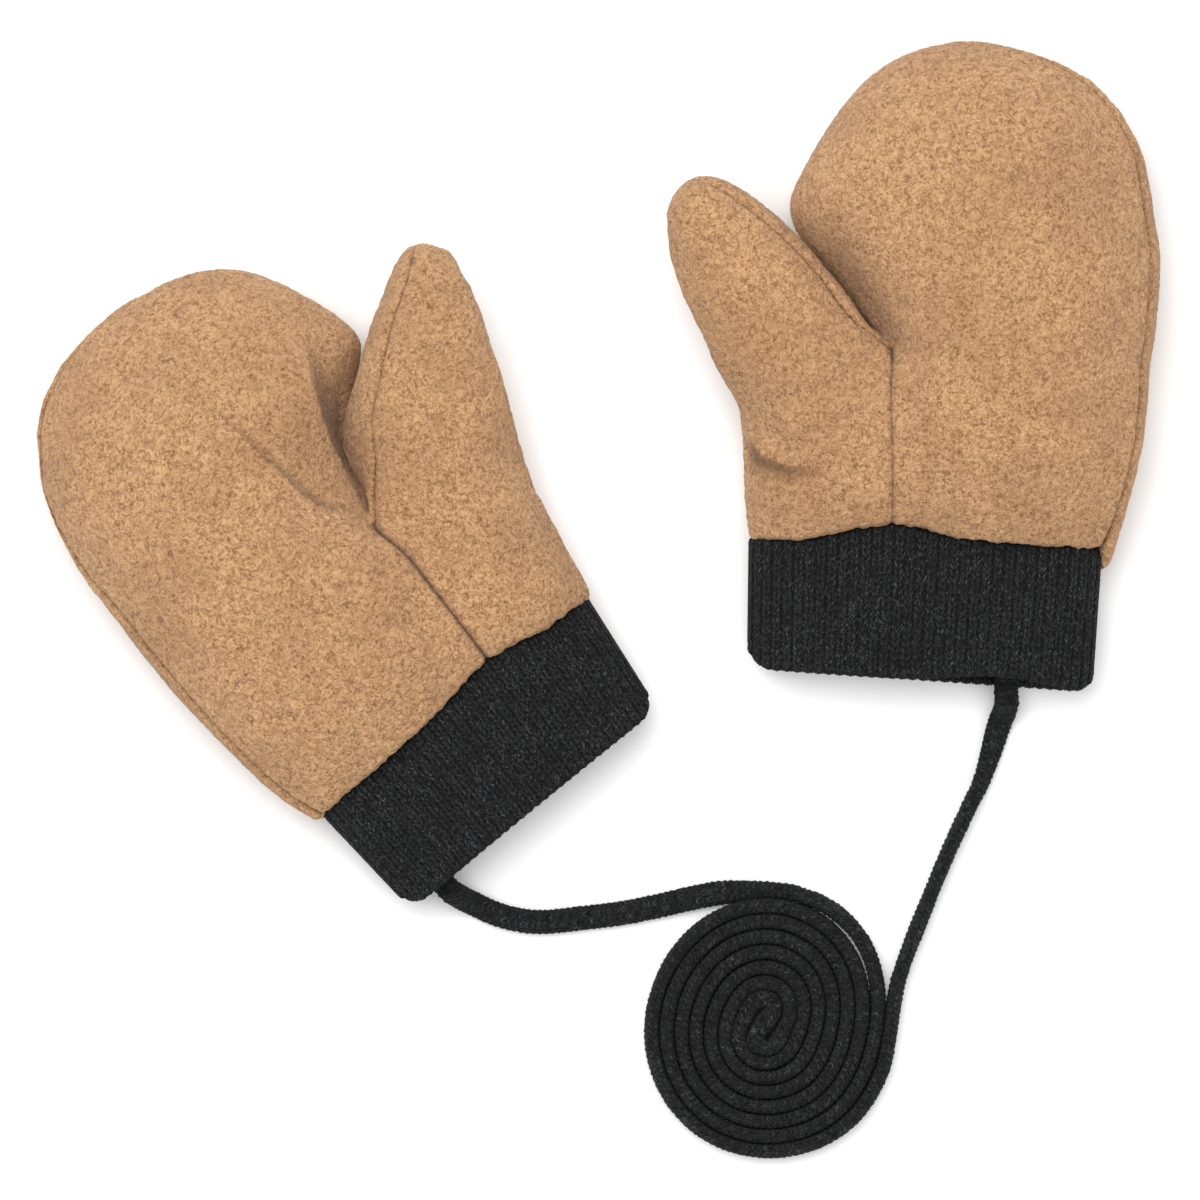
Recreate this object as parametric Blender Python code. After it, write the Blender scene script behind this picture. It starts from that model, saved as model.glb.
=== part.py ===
# Pair of baby mittens, lying palm side up on a flat surface, joined by a wound cord.
# World frame: metres, +Z up, the surface is z = 0, the fingers of the left-hand mitten point
# along +Y. The origin is under the middle of the two mittens.
# Tables and sizes below are in millimetres.
import math

import bmesh
import bpy
import numpy as np

MM = 0.001

# Moves everything so that the origin is under the middle of the two mittens.
MIDDLE_SHIFT = (0.05, -0.5)

# Cloth
FLEECE_WALL = 2.2
KNIT_WALL = 2.8
SEAM_GAP = 0.3

# Ribbed cuffs
RIB_COUNT = 64
RIB_RISE = 0.7
CUFF_TOP_HEIGHT = 18.4
CUFF_MOUTH_HEIGHT = 16.6
CUFF_SQUARENESS = 2.7
CUFF_LIP = 0.9
CUFF_ROWS = (0.0, 0.5, 0.93, 1.0)
REST_FLAT_DEPTH = 0.35

# Cord: flat knitted tube, standing on its edge where it is wound
CORD_WIDTH = 5.0
CORD_THICKNESS = 3.2
CORD_TUBE_DIAMETER = 4.0
CORD_INSIDE_CUFF = 7.0
COIL_CENTRE = (34.7, -116.6)
COIL_FIRST_RADIUS = 27.2
COIL_SPACING = 3.3
COIL_TOP_RADIUS = 28.6
COIL_SECOND_RADIUS = 23.3
COIL_TAPER_POWER = 1.4
COIL_STEPS = 72
COIL_EDGE_ROUND = 1.2

# Columns of the mesh round one mitten
HAND_TOP_STEPS = 9
THUMB_TOP_STEPS = 6
THUMB_UNDER_ANGLES = (0.0, 30.0, 60.0, 90.0, 115.0, 140.0)
BOTTOM_FLAT_STOPS = (0.0, 0.25, 0.62, 1.0)
WALL_TOP_ANGLE = 148.0
WALL_UNDER_ANGLE = 50.0
UNDER_ROUND = 11.0
THUMB_HOLLOW_POWER = 1.4
ROWS_BETWEEN = 2

# One row for each section across the palm below the thumb's fork. Little is the little-finger
# edge, seam the sewn line between palm and thumb panel, thumb the edge on the thumb's side.
# Each is (across, along); rise is how far the cuff's seam peaks at the sewn line, and drop is how
# far the back panel hangs lower than the palm at the little-finger edge.
TRUNK_COLUMNS = ("little", "seam", "thumb", "rise", "drop")
# One row for each section of the finger part: little-finger edge, edge on the thumb's side,
# how hollow its flank is, and how far round the side seam is turned up, in degrees.
HAND_COLUMNS = ("little", "inner", "flank", "seam_turn")
# One row for each section of the thumb: edge beside the palm, outer edge, and how far the sewn
# line lies inside the edge beside the palm.
THUMB_COLUMNS = ("inner", "outer", "seam_inset")

LEFT_HAND = {
    "name": "left_hand",
    "origin": (68.25, -15.33),
    "turn": -4.0,
    "thumb_side": -1.0,
    "trunk": (
        ((-38.9, 1.6), (6.9, 0.0), (36.3, -1.6), 3.6, 3.9),
        ((-41.0, 7.0), (7.3, 6.5), (37.9, 5.0), 2.0, 1.6),
        ((-43.0, 14.5), (7.8, 15.5), (38.9, 12.0), 0.8, 0.4),
        ((-44.3, 23.0), (8.3, 25.0), (39.7, 18.5), 0.0, 0.0),
        ((-44.9, 32.0), (8.8, 34.0), (40.3, 23.0), 0.0, 0.0),
        ((-45.0, 41.0), (10.5, 41.5), (41.6, 27.2), 0.0, 0.0),
    ),
    "fork": ((14.5, 44.8), (14.0, 43.6)),
    "hand": (
        ((-45.6, 49.0), (18.5, 49.3), 1.5, 21.0),
        ((-45.8, 57.0), (25.6, 57.0), 1.4, 21.0),
        ((-45.4, 65.0), (31.6, 64.3), 1.2, 21.0),
        ((-43.8, 72.0), (33.3, 71.0), 1.0, 21.0),
        ((-42.0, 80.0), (30.4, 79.0), 1.0, 21.0),
        ((-39.1, 88.0), (25.8, 88.0), 1.0, 21.0),
        ((-33.0, 96.2), (20.4, 96.2), 1.0, 21.0),
        ((-25.6, 101.7), (14.1, 101.9), 1.0, 24.0),
        ((-17.0, 105.1), (5.8, 105.6), 1.0, 30.0),
    ),
    "hand_tip": (-6.0, 107.3),
    "thumb": (
        ((16.4, 47.6), (46.1, 33.4), 2.4),
        ((24.6, 56.6), (50.2, 41.3), 2.2),
        ((32.2, 64.2), (54.2, 48.5), 2.6),
        ((39.2, 69.6), (57.6, 56.5), 3.0),
        ((45.0, 73.0), (59.0, 63.6), 3.0),
        ((50.0, 74.3), (58.5, 68.8), 2.4),
    ),
    "thumb_tip": (54.9, 73.4),
    "creases": (((39.6, 22.0), (27.0, 15.2), 2.6, 3.4),),
    "cuff": {
        "top": (-37.4, 36.2),
        "mouth": (-37.4, 35.0),
        "mouth_v": -28.2,
        "mouth_lift": (-17.0, 13.0, 2.0),
        "corner": ((6.5, 5.5), (3.5, 3.0)),
    },
    "cord_exit": (-19.6, 5.7),
}

RIGHT_HAND = {
    "name": "right_hand",
    "origin": (-29.3, -50.6),
    "turn": 39.3,
    "thumb_side": 1.0,
    "trunk": (
        ((-37.0, 1.6), (11.7, 1.6), (37.0, 1.6), 3.1, 0.6),
        ((-39.8, 7.5), (12.0, 8.6), (38.3, 7.5), 1.8, 0.2),
        ((-41.6, 15.0), (12.3, 17.0), (39.7, 14.5), 0.7, 0.0),
        ((-42.7, 24.0), (12.5, 26.0), (41.0, 21.0), 0.0, 0.0),
        ((-43.4, 33.0), (12.3, 34.5), (42.5, 28.0), 0.0, 0.0),
        ((-43.9, 42.0), (11.4, 43.0), (45.4, 35.0), 0.0, 0.0),
    ),
    "fork": ((14.0, 46.8), (14.4, 45.2)),
    "hand": (
        ((-44.1, 50.0), (17.6, 52.0), 2.0, 21.0),
        ((-43.8, 58.0), (21.6, 60.0), 2.0, 20.0),
        ((-43.3, 66.0), (27.4, 67.2), 1.7, 17.0),
        ((-42.7, 73.0), (33.6, 73.6), 1.4, 11.0),
        ((-41.4, 81.0), (33.3, 81.0), 1.15, 6.0),
        ((-39.0, 90.0), (30.2, 90.0), 1.0, 4.0),
        ((-34.4, 98.0), (26.3, 98.0), 1.0, 8.0),
        ((-28.7, 104.6), (20.2, 104.8), 1.0, 16.0),
        ((-19.8, 109.4), (10.3, 109.4), 1.0, 28.0),
    ),
    "hand_tip": (-6.0, 112.0),
    "thumb": (
        ((14.6, 54.0), (49.0, 42.5), 5.5),
        ((18.4, 61.8), (52.3, 49.5), 7.0),
        ((27.2, 68.2), (55.0, 57.0), 6.0),
        ((35.3, 74.0), (57.6, 64.0), 5.3),
        ((43.6, 78.6), (59.3, 71.2), 4.6),
        ((49.8, 81.8), (59.8, 76.8), 3.2),
    ),
    "thumb_tip": (55.6, 82.2),
    "creases": (((2.0, 68.0), (8.0, 50.0), 1.6, 4.0),),
    "cuff": {
        "top": (-35.8, 35.6),
        "mouth": (-34.4, 33.2),
        "mouth_v": -25.4,
        "mouth_lift": (0.0, 20.0, 0.3),
        "corner": ((3.0, 3.0), (3.5, 3.5)),
    },
    "cord_exit": (-25.4, 6.5),
}

# Heights of the same sections on both mittens, from the cuff to the fork.
TRUNK_HEIGHT_COLUMNS = ("side", "crown", "crown_across", "valley",
                        "thumb_crown", "thumb_across", "thumb_side")
TRUNK_HEIGHTS = (
    (9.3, 20.2, -13.0, 19.6, 19.4, 22.0, 9.3),
    (10.8, 25.0, -13.0, 24.0, 23.4, 23.0, 10.5),
    (11.8, 29.6, -13.0, 27.8, 26.2, 24.0, 11.4),
    (12.3, 32.8, -13.0, 29.4, 27.4, 25.0, 12.0),
    (12.5, 34.4, -12.0, 28.0, 27.8, 26.0, 12.6),
    (12.5, 35.0, -11.0, 22.5, 28.4, 27.5, 13.4),
)
# Heights of the finger part's sections, from the fork to its tip.
HAND_HEIGHT_COLUMNS = ("side", "crown", "crown_across", "inner", "low")
HAND_HEIGHTS = (
    (12.5, 35.2, -10.0, 11.4, 0.0),
    (12.5, 35.2, -9.0, 11.0, 0.0),
    (12.5, 34.8, -8.0, 11.0, 0.0),
    (12.5, 34.0, -6.5, 11.6, 0.0),
    (12.5, 32.4, -6.0, 12.2, 0.0),
    (12.6, 29.6, -6.0, 12.6, 0.0),
    (12.9, 25.6, -6.0, 12.9, 1.4),
    (13.2, 21.6, -6.0, 13.2, 4.4),
    (13.4, 17.8, -6.0, 13.4, 8.6),
)
HAND_TIP_HEIGHT = 13.5
# Heights of the thumb's sections, from the fork to its tip.
THUMB_HEIGHT_COLUMNS = ("low", "middle", "top")
THUMB_HEIGHTS = (
    (3.4, 17.0, 29.0),
    (7.0, 20.0, 30.0),
    (8.2, 20.4, 30.0),
    (8.6, 20.0, 29.4),
    (9.8, 19.4, 27.6),
    (12.2, 18.8, 24.8),
)
THUMB_TIP_HEIGHT = 18.6
FORK_MIDDLE_HEIGHT = 13.0
FORK_LOW_HEIGHT = 1.6

# Routes of the cord's two free stretches, in plan, from just outside the cuff to the coil.
LEFT_HAND_CORD = (
    (85.7, -48.8), (83.9, -54.0), (81.9, -60.4), (79.5, -66.8), (76.5, -73.1), (73.6, -79.4),
    (71.0, -85.8), (68.4, -92.2), (66.1, -98.5), (64.2, -104.0), (62.7, -109.4),
)
RIGHT_HAND_CORD = (
    (-30.0, -88.9), (-25.3, -91.5), (-19.6, -93.7), (-12.6, -94.7), (-4.1, -93.9), (4.3, -92.9),
    (12.8, -91.2), (21.2, -89.3), (28.0, -88.3),
)

COLOURS = {
    "palm": ((0.56, 0.32, 0.16, 1.0), 0.95),
    "thumb": ((0.56, 0.32, 0.16, 1.0), 0.95),
    "back": ((0.52, 0.29, 0.14, 1.0), 0.95),
    "cuff": ((0.022, 0.023, 0.025, 1.0), 0.92),
    "cord": ((0.020, 0.021, 0.023, 1.0), 0.9),
}


def rows(table, columns):
    # Turns a table into a list of rows whose values have names.
    return [dict(zip(columns, row)) for row in table]


def place(mitten, points):
    # Turns (across, along, up) of one mitten into world millimetres.
    points = np.asarray(points, dtype=float)
    turn = math.radians(mitten["turn"])
    across = points[:, 0] * mitten["thumb_side"]
    along = points[:, 1]
    x = mitten["origin"][0] + across * math.cos(turn) - along * math.sin(turn)
    y = mitten["origin"][1] + across * math.sin(turn) + along * math.cos(turn)
    return np.column_stack((x + MIDDLE_SHIFT[0], y + MIDDLE_SHIFT[1], points[:, 2]))


def rounded(angle):
    return math.sin(math.radians(angle))


def run(angle):
    return math.cos(math.radians(angle))


def trunk_ring(plan, up, bend, seam_turn):
    # One closed section below the fork: over the palm, over the thumb's root and back underneath.
    little, seam, thumb = plan["little"], plan["seam"], plan["thumb"]
    points = []

    def along_hand(across):
        part = (across - little[0]) / (seam[0] - little[0])
        return little[1] + (seam[1] - little[1]) * part, max(part, 0.0)

    def along_thumb(across):
        part = (thumb[0] - across) / (thumb[0] - seam[0])
        return thumb[1] + (seam[1] - thumb[1]) * part, max(part, 0.0)

    drop = min((up["valley"] - up["side"]) / (up["crown"] - up["side"]), 0.985)
    last = 180.0 - math.degrees(math.asin(drop))
    reach = (seam[0] - up["crown_across"]) / -run(last)
    for step in range(HAND_TOP_STEPS):
        angle = seam_turn + (last - seam_turn) * step / HAND_TOP_STEPS
        side = up["crown_across"] - little[0] if angle < 90.0 else reach
        across = up["crown_across"] - side * run(angle)
        along, part = along_hand(across)
        points.append((across, along + plan["rise"] * part ** bend,
                       up["side"] + (up["crown"] - up["side"]) * rounded(angle)))
    drop = min((up["valley"] - up["thumb_side"]) / (up["thumb_crown"] - up["thumb_side"]), 0.985)
    first = 180.0 - math.degrees(math.asin(drop))
    reach = (up["thumb_across"] - seam[0]) / -run(first)
    for step in range(THUMB_TOP_STEPS):
        angle = first * (1.0 - step / THUMB_TOP_STEPS)
        side = thumb[0] - up["thumb_across"] if angle < 90.0 else reach
        across = up["thumb_across"] + side * run(angle)
        along, part = along_thumb(across)
        points.append((across, along + plan["rise"] * part ** bend,
                       up["thumb_side"] + (up["thumb_crown"] - up["thumb_side"]) * rounded(angle)))
    def along_back(across):
        along, part = along_hand(across)
        return along - plan["drop"] * max(1.0 - part, 0.0) ** 2

    middle = seam[0] + 4.0
    for angle in (0.0, 45.0, 90.0):
        across = thumb[0] - UNDER_ROUND * (1.0 - run(angle))
        points.append((across, along_thumb(across)[0], up["thumb_side"] * (1.0 - rounded(angle))))
    flat_end = thumb[0] - UNDER_ROUND
    for part in (1.0 / 3.0, 2.0 / 3.0):
        across = flat_end + (middle - flat_end) * part
        points.append((across, along_thumb(across)[0], 0.0))
    flat_end = little[0] + UNDER_ROUND
    for part in BOTTOM_FLAT_STOPS:
        across = middle + (flat_end - middle) * part
        points.append((across, along_back(across), 0.0))
    for angle in (45.0, 0.0):
        across = little[0] + UNDER_ROUND * (1.0 - run(angle))
        points.append((across, along_back(across), up["side"] * (1.0 - rounded(angle))))
    return np.array(points)


def hand_ring(plan, up):
    # One closed section of the finger part: over the top, down the flank beside the thumb, back.
    little, inner = plan["little"], plan["inner"]
    points = []

    def add(across, height):
        part = (across - little[0]) / (inner[0] - little[0])
        points.append((across, little[1] + (inner[1] - little[1]) * part, height))

    def over(angle):
        if angle < 90.0:
            add(up["crown_across"] - (up["crown_across"] - little[0]) * run(angle),
                up["side"] + (up["crown"] - up["side"]) * rounded(angle))
        else:
            lift = max(rounded(angle), 0.0) ** plan["flank"]
            add(up["crown_across"] - (inner[0] - up["crown_across"]) * run(angle),
                up["inner"] + (up["crown"] - up["inner"]) * lift)

    round_under = min(UNDER_ROUND, 0.3 * (inner[0] - little[0]))
    turn = plan["seam_turn"]
    for step in range(HAND_TOP_STEPS):
        over(turn + (WALL_TOP_ANGLE - turn) * step / HAND_TOP_STEPS)
    for part in (0.0, 0.5, 1.0):
        over(WALL_TOP_ANGLE + (180.0 - WALL_TOP_ANGLE) * part)
    for angle in (WALL_UNDER_ANGLE / 2.0, WALL_UNDER_ANGLE, 90.0):
        add(inner[0] - round_under * (1.0 - run(angle)),
            up["low"] + (up["inner"] - up["low"]) * (1.0 - rounded(angle)))
    add((little[0] + inner[0]) / 2.0, up["low"])
    for angle in (90.0, 45.0, 0.0):
        add(little[0] + round_under * (1.0 - run(angle)),
            up["low"] + (up["side"] - up["low"]) * (1.0 - rounded(angle)))
    return np.array(points)


def thumb_ring(plan, up):
    # One closed section of the thumb: from the sewn line over the top, round and back underneath.
    inner, outer = np.array(plan["inner"]), np.array(plan["outer"])
    centre = (inner + outer) / 2.0
    half = (outer - inner) / 2.0
    width = float(np.linalg.norm(half))
    seam_angle = 180.0 - math.degrees(math.acos(1.0 - plan["seam_inset"] / width))
    points = []

    def add(angle):
        lift = rounded(angle)
        plan_point = centre + half * run(angle)
        if lift >= 0.0:
            height = up["middle"] + (up["top"] - up["middle"]) * lift
        else:
            power = THUMB_HOLLOW_POWER if run(angle) < 0.0 else 1.0
            height = up["middle"] - (up["middle"] - up["low"]) * (-lift) ** power
        points.append((plan_point[0], plan_point[1], height))

    for step in range(THUMB_TOP_STEPS):
        add(seam_angle * (1.0 - step / THUMB_TOP_STEPS))
    for angle in THUMB_UNDER_ANGLES:
        add(-angle)
    for angle in (-160.0, 180.0, (180.0 + seam_angle) / 2.0):
        add(angle)
    return np.array(points)


def between(before, first, second, after, part):
    # A point on the smooth curve from first to second.
    return 0.5 * (2.0 * first + (second - before) * part
                  + (2.0 * before - 5.0 * first + 4.0 * second - after) * part ** 2
                  + (3.0 * first - before - 3.0 * second + after) * part ** 3)


def refine(stations):
    # Adds sections between the given ones. The first and last only guide the curve.
    fine = []
    for index in range(1, len(stations) - 2):
        for step in range(ROWS_BETWEEN):
            part = step / ROWS_BETWEEN
            fine.append(between(stations[index - 1], stations[index], stations[index + 1],
                                stations[index + 2], part))
    fine.append(stations[-2])
    return fine


def crease(points, creases):
    # Presses soft troughs into the upper side, each along a line from one point to another.
    for start, end, depth, width in creases:
        start, end = np.array(start), np.array(end)
        line = end - start
        along = np.clip((points[:, :2] - start) @ line / (line @ line), 0.0, 1.0)
        away = np.linalg.norm(points[:, :2] - start - along[:, None] * line, axis=1)
        fade = np.sin(np.pi * (0.12 + 0.76 * along))
        points[:, 2] -= depth * fade * np.exp(-(away / width) ** 2) * (points[:, 2] > 16.0)


def mitten_surface(mitten):
    # The whole outer surface of one mitten as points, and faces marked with their panel.
    top, thumb_top = HAND_TOP_STEPS, THUMB_TOP_STEPS
    plans = rows(mitten["trunk"], TRUNK_COLUMNS)
    heights = rows(TRUNK_HEIGHTS, TRUNK_HEIGHT_COLUMNS)
    trunk = [trunk_ring(plan, up, 3.0, mitten["hand"][0][3]) for plan, up in zip(plans, heights)]
    hand = [hand_ring(plan, up) for plan, up in zip(rows(mitten["hand"], HAND_COLUMNS),
                                                    rows(HAND_HEIGHTS, HAND_HEIGHT_COLUMNS))]
    thumb = [thumb_ring(plan, up) for plan, up in zip(rows(mitten["thumb"], THUMB_COLUMNS),
                                                      rows(THUMB_HEIGHTS, THUMB_HEIGHT_COLUMNS))]
    count = len(trunk[0])
    under = top + thumb_top + len(THUMB_UNDER_ANGLES) - 1
    seam_point = trunk[-1][top]
    middle_point = np.array(mitten["fork"][0] + (FORK_MIDDLE_HEIGHT,))
    low_point = np.array(mitten["fork"][1] + (FORK_LOW_HEIGHT,))
    trunk[-1][under] = low_point
    guide = 2.0 * seam_point - middle_point
    upper = between(guide, seam_point, middle_point, low_point, 0.5)
    lower = between(seam_point, middle_point, low_point, 2.0 * low_point - middle_point, 0.5)
    wall = [upper, middle_point, lower]

    hand_columns = list(range(top + 1)) + ["wall"] * 3 + list(range(under, count))
    thumb_columns = list(range(top, under + 1)) + ["wall"] * 3

    def guided(rings, columns, tip, reverse):
        # Lines up the sections from the cuff to the tip, one column at a time.
        tip_point = np.array(tip)
        size = len(columns)
        chains = []
        order = list(reversed(wall)) if reverse else wall
        wall_turn = 0
        for position, column in enumerate(columns):
            upper_part = [ring[position] for ring in rings]
            far = rings[-1][(position + size // 2) % size]
            if column == "wall":
                start = order[wall_turn]
                wall_turn += 1
                before = 2.0 * start - upper_part[0]
                chain = [before, start] + upper_part + [tip_point, far]
                chains.append((None, refine(chain)))
            else:
                lower_part = [ring[column] for ring in trunk]
                before = 2.0 * lower_part[0] - lower_part[1]
                chain = [before] + lower_part + upper_part + [tip_point, far]
                chains.append((column, refine(chain)))
        return chains

    hand_tip = mitten["hand_tip"] + (HAND_TIP_HEIGHT,)
    thumb_tip = mitten["thumb_tip"] + (THUMB_TIP_HEIGHT,)
    hand_chains = guided(hand, hand_columns, hand_tip, False)
    thumb_chains = guided(thumb, thumb_columns, thumb_tip, True)
    trunk_rows = (len(trunk) - 1) * ROWS_BETWEEN
    points = []
    faces = []
    grid = {}

    def keep(key, point):
        if key not in grid:
            grid[key] = len(points)
            points.append(point)
        return grid[key]

    fine_trunk = np.zeros((trunk_rows + 1, count, 3))
    for chains in (thumb_chains, hand_chains):
        for column, line in chains:
            if column is not None:
                for row in range(trunk_rows + 1):
                    fine_trunk[row, column] = line[row]
    for row in range(trunk_rows + 1):
        for column in range(count):
            keep(("trunk", row, column), fine_trunk[row, column])
    wall_keys = [keep(("wall", index), point) for index, point in enumerate(wall)]

    def trunk_panel(column):
        if column < top:
            return "palm"
        if column < top + thumb_top:
            return "thumb"
        return "back"

    for row in range(trunk_rows):
        for column in range(count):
            beside = (column + 1) % count
            faces.append((trunk_panel(column), (grid["trunk", row, column], grid["trunk", row, beside],
                                                grid["trunk", row + 1, beside],
                                                grid["trunk", row + 1, column])))

    def branch(name, chains, reverse, panel):
        # Joins the sections above the fork into faces, closed at the tip.
        size = len(chains)
        order = list(reversed(wall_keys)) if reverse else wall_keys
        previous = []
        wall_turn = 0
        for column, line in chains:
            if column is None:
                previous.append(order[wall_turn])
                wall_turn += 1
            else:
                previous.append(grid["trunk", trunk_rows, column])
        lines = [line if column is None else line[trunk_rows:] for column, line in chains]
        for row in range(1, len(lines[0]) - 1):
            current = [keep((name, row, position), lines[position][row]) for position in range(size)]
            for position in range(size):
                beside = (position + 1) % size
                faces.append((panel(position), (previous[position], previous[beside],
                                                current[beside], current[position])))
            previous = current
        tip = keep((name, "tip"), lines[0][-1])
        for position in range(size):
            faces.append((panel(position), (previous[position], previous[(position + 1) % size], tip)))

    branch("hand", hand_chains, False, lambda position: "palm" if position < top + 4 else "back")
    branch("thumb", thumb_chains, True, lambda position: "thumb" if position < thumb_top else "palm")
    points = np.array(points)
    crease(points, mitten["creases"])
    edge = [grid["trunk", 0, column] for column in range(count)]
    return points, faces, edge


def surface_normals(points, faces):
    normals = np.zeros_like(points)
    for _panel, face in faces:
        corner = points[list(face)]
        normal = np.zeros(3)
        for index in range(1, len(face) - 1):
            normal += np.cross(corner[index] - corner[0], corner[index + 1] - corner[0])
        for index in face:
            normals[index] += normal
    normals /= np.linalg.norm(normals, axis=1)[:, None]
    highest = int(np.argmax(points[:, 2]))
    return normals if normals[highest, 2] > 0.0 else -normals


def seam_shift(points, faces):
    # How far each point on a panel's edge moves in from the sewn line.
    edges = {}
    for face in faces:
        centre = points[list(face)].mean(axis=0)
        for index, start in enumerate(face):
            end = face[(index + 1) % len(face)]
            edges.setdefault(frozenset((start, end)), []).append((start, end, centre))
    inward = {}
    border = []
    for found in edges.values():
        if len(found) > 1:
            continue
        start, end, centre = found[0]
        border.append((start, end))
        line = points[end] - points[start]
        line /= np.linalg.norm(line)
        away = centre - points[start]
        away -= line * (away @ line)
        away /= np.linalg.norm(away)
        inward.setdefault(start, []).append(away)
        inward.setdefault(end, []).append(away)
    shift = {}
    for index, found in inward.items():
        total = sum(found)
        size = np.linalg.norm(total)
        reach = min(len(found) / max(size, 0.3), 2.0)
        shift[index] = total / max(size, 0.001) * SEAM_GAP / 2.0 * reach
    return shift, border


def make_object(name, points, faces, colour):
    # A closed solid from world millimetres, with its own material.
    mesh = bpy.data.meshes.new(name)
    mesh.from_pydata([tuple(point * MM) for point in np.asarray(points)], [], faces)
    model = bmesh.new()
    model.from_mesh(mesh)
    bmesh.ops.triangulate(model, faces=model.faces, quad_method="SHORT_EDGE")
    bmesh.ops.recalc_face_normals(model, faces=model.faces)
    model.to_mesh(mesh)
    model.free()
    mesh.shade_smooth()
    mesh.set_sharp_from_angle(angle=math.radians(50.0))
    built = bpy.data.objects.new(name, mesh)
    bpy.context.scene.collection.objects.link(built)
    mesh.materials.append(make_material(name, colour))
    return built


def make_material(name, colour):
    material = bpy.data.materials.new(name)
    material.use_nodes = True
    shader = material.node_tree.nodes["Principled BSDF"]
    shader.inputs["Base Color"].default_value = COLOURS[colour][0]
    shader.inputs["Roughness"].default_value = COLOURS[colour][1]
    shader.inputs["Metallic"].default_value = 0.0
    return material


def build_panel(mitten, panel, points, normals, faces):
    # One cut piece of fleece: its outer side, its inner side and the edges between them.
    own = [face for found, face in faces if found == panel]
    shift, border = seam_shift(points, own)
    used = sorted({index for face in own for index in face})
    number = {index: position for position, index in enumerate(used)}
    outer = np.array([points[index] + shift.get(index, 0.0) for index in used])
    inner = outer - np.array([normals[index] for index in used]) * FLEECE_WALL
    outer[:, 2] = np.maximum(outer[:, 2], 0.0)
    size = len(used)
    solid = [tuple(number[index] for index in face) for face in own]
    solid += [tuple(size + number[index] for index in reversed(face)) for face in own]
    for start, end in border:
        solid.append((number[start], number[end], size + number[end], size + number[start]))
    make_object(mitten["name"] + "_" + panel, place(mitten, np.vstack((outer, inner))), solid, panel)


def oval(left, right, height):
    # Evenly spaced points round a cuff's section, from the thumb's side over the top.
    centre, half = (left + right) / 2.0, (right - left) / 2.0
    angles = np.linspace(0.0, 2.0 * math.pi, 1441)
    power = 2.0 / CUFF_SQUARENESS
    across = centre + half * np.sign(np.cos(angles)) * np.abs(np.cos(angles)) ** power
    up = height / 2.0 * np.sign(np.sin(angles)) * np.abs(np.sin(angles)) ** power
    up = np.maximum(up + height / 2.0 - REST_FLAT_DEPTH, 0.0)
    length = np.concatenate(([0.0], np.cumsum(np.hypot(np.diff(across), np.diff(up)))))
    stops = np.linspace(0.0, length[-1], 2 * RIB_COUNT, endpoint=False)
    return np.column_stack((np.interp(stops, length, across), np.interp(stops, length, up)))


def outward(ring):
    # Unit directions out of a section, in its own plane.
    along = np.roll(ring, -1, axis=0) - np.roll(ring, 1, axis=0)
    direction = np.column_stack((along[:, 1], -along[:, 0]))
    return direction / np.linalg.norm(direction, axis=1)[:, None]


def fleece_edge(edge_points, spot):
    # How far along the fleece's lower edge is at the place nearest to one point of the cuff.
    start = edge_points
    line = np.roll(edge_points, -1, axis=0) - start
    flat = line[:, (0, 2)]
    part = ((spot - start[:, (0, 2)]) * flat).sum(axis=1) / (flat * flat).sum(axis=1)
    near = start + line * np.clip(part, 0.0, 1.0)[:, None]
    away = np.linalg.norm(near[:, (0, 2)] - spot, axis=1)
    return near[np.argmin(away), 1]


def corner_lift(across, edge, size):
    # How far the mouth's edge rounds up near one side of the cuff.
    reach = max(0.0, size[0] - abs(edge - across))
    return size[1] * (1.0 - math.sqrt(max(0.0, 1.0 - (reach / size[0]) ** 2)))


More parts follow.
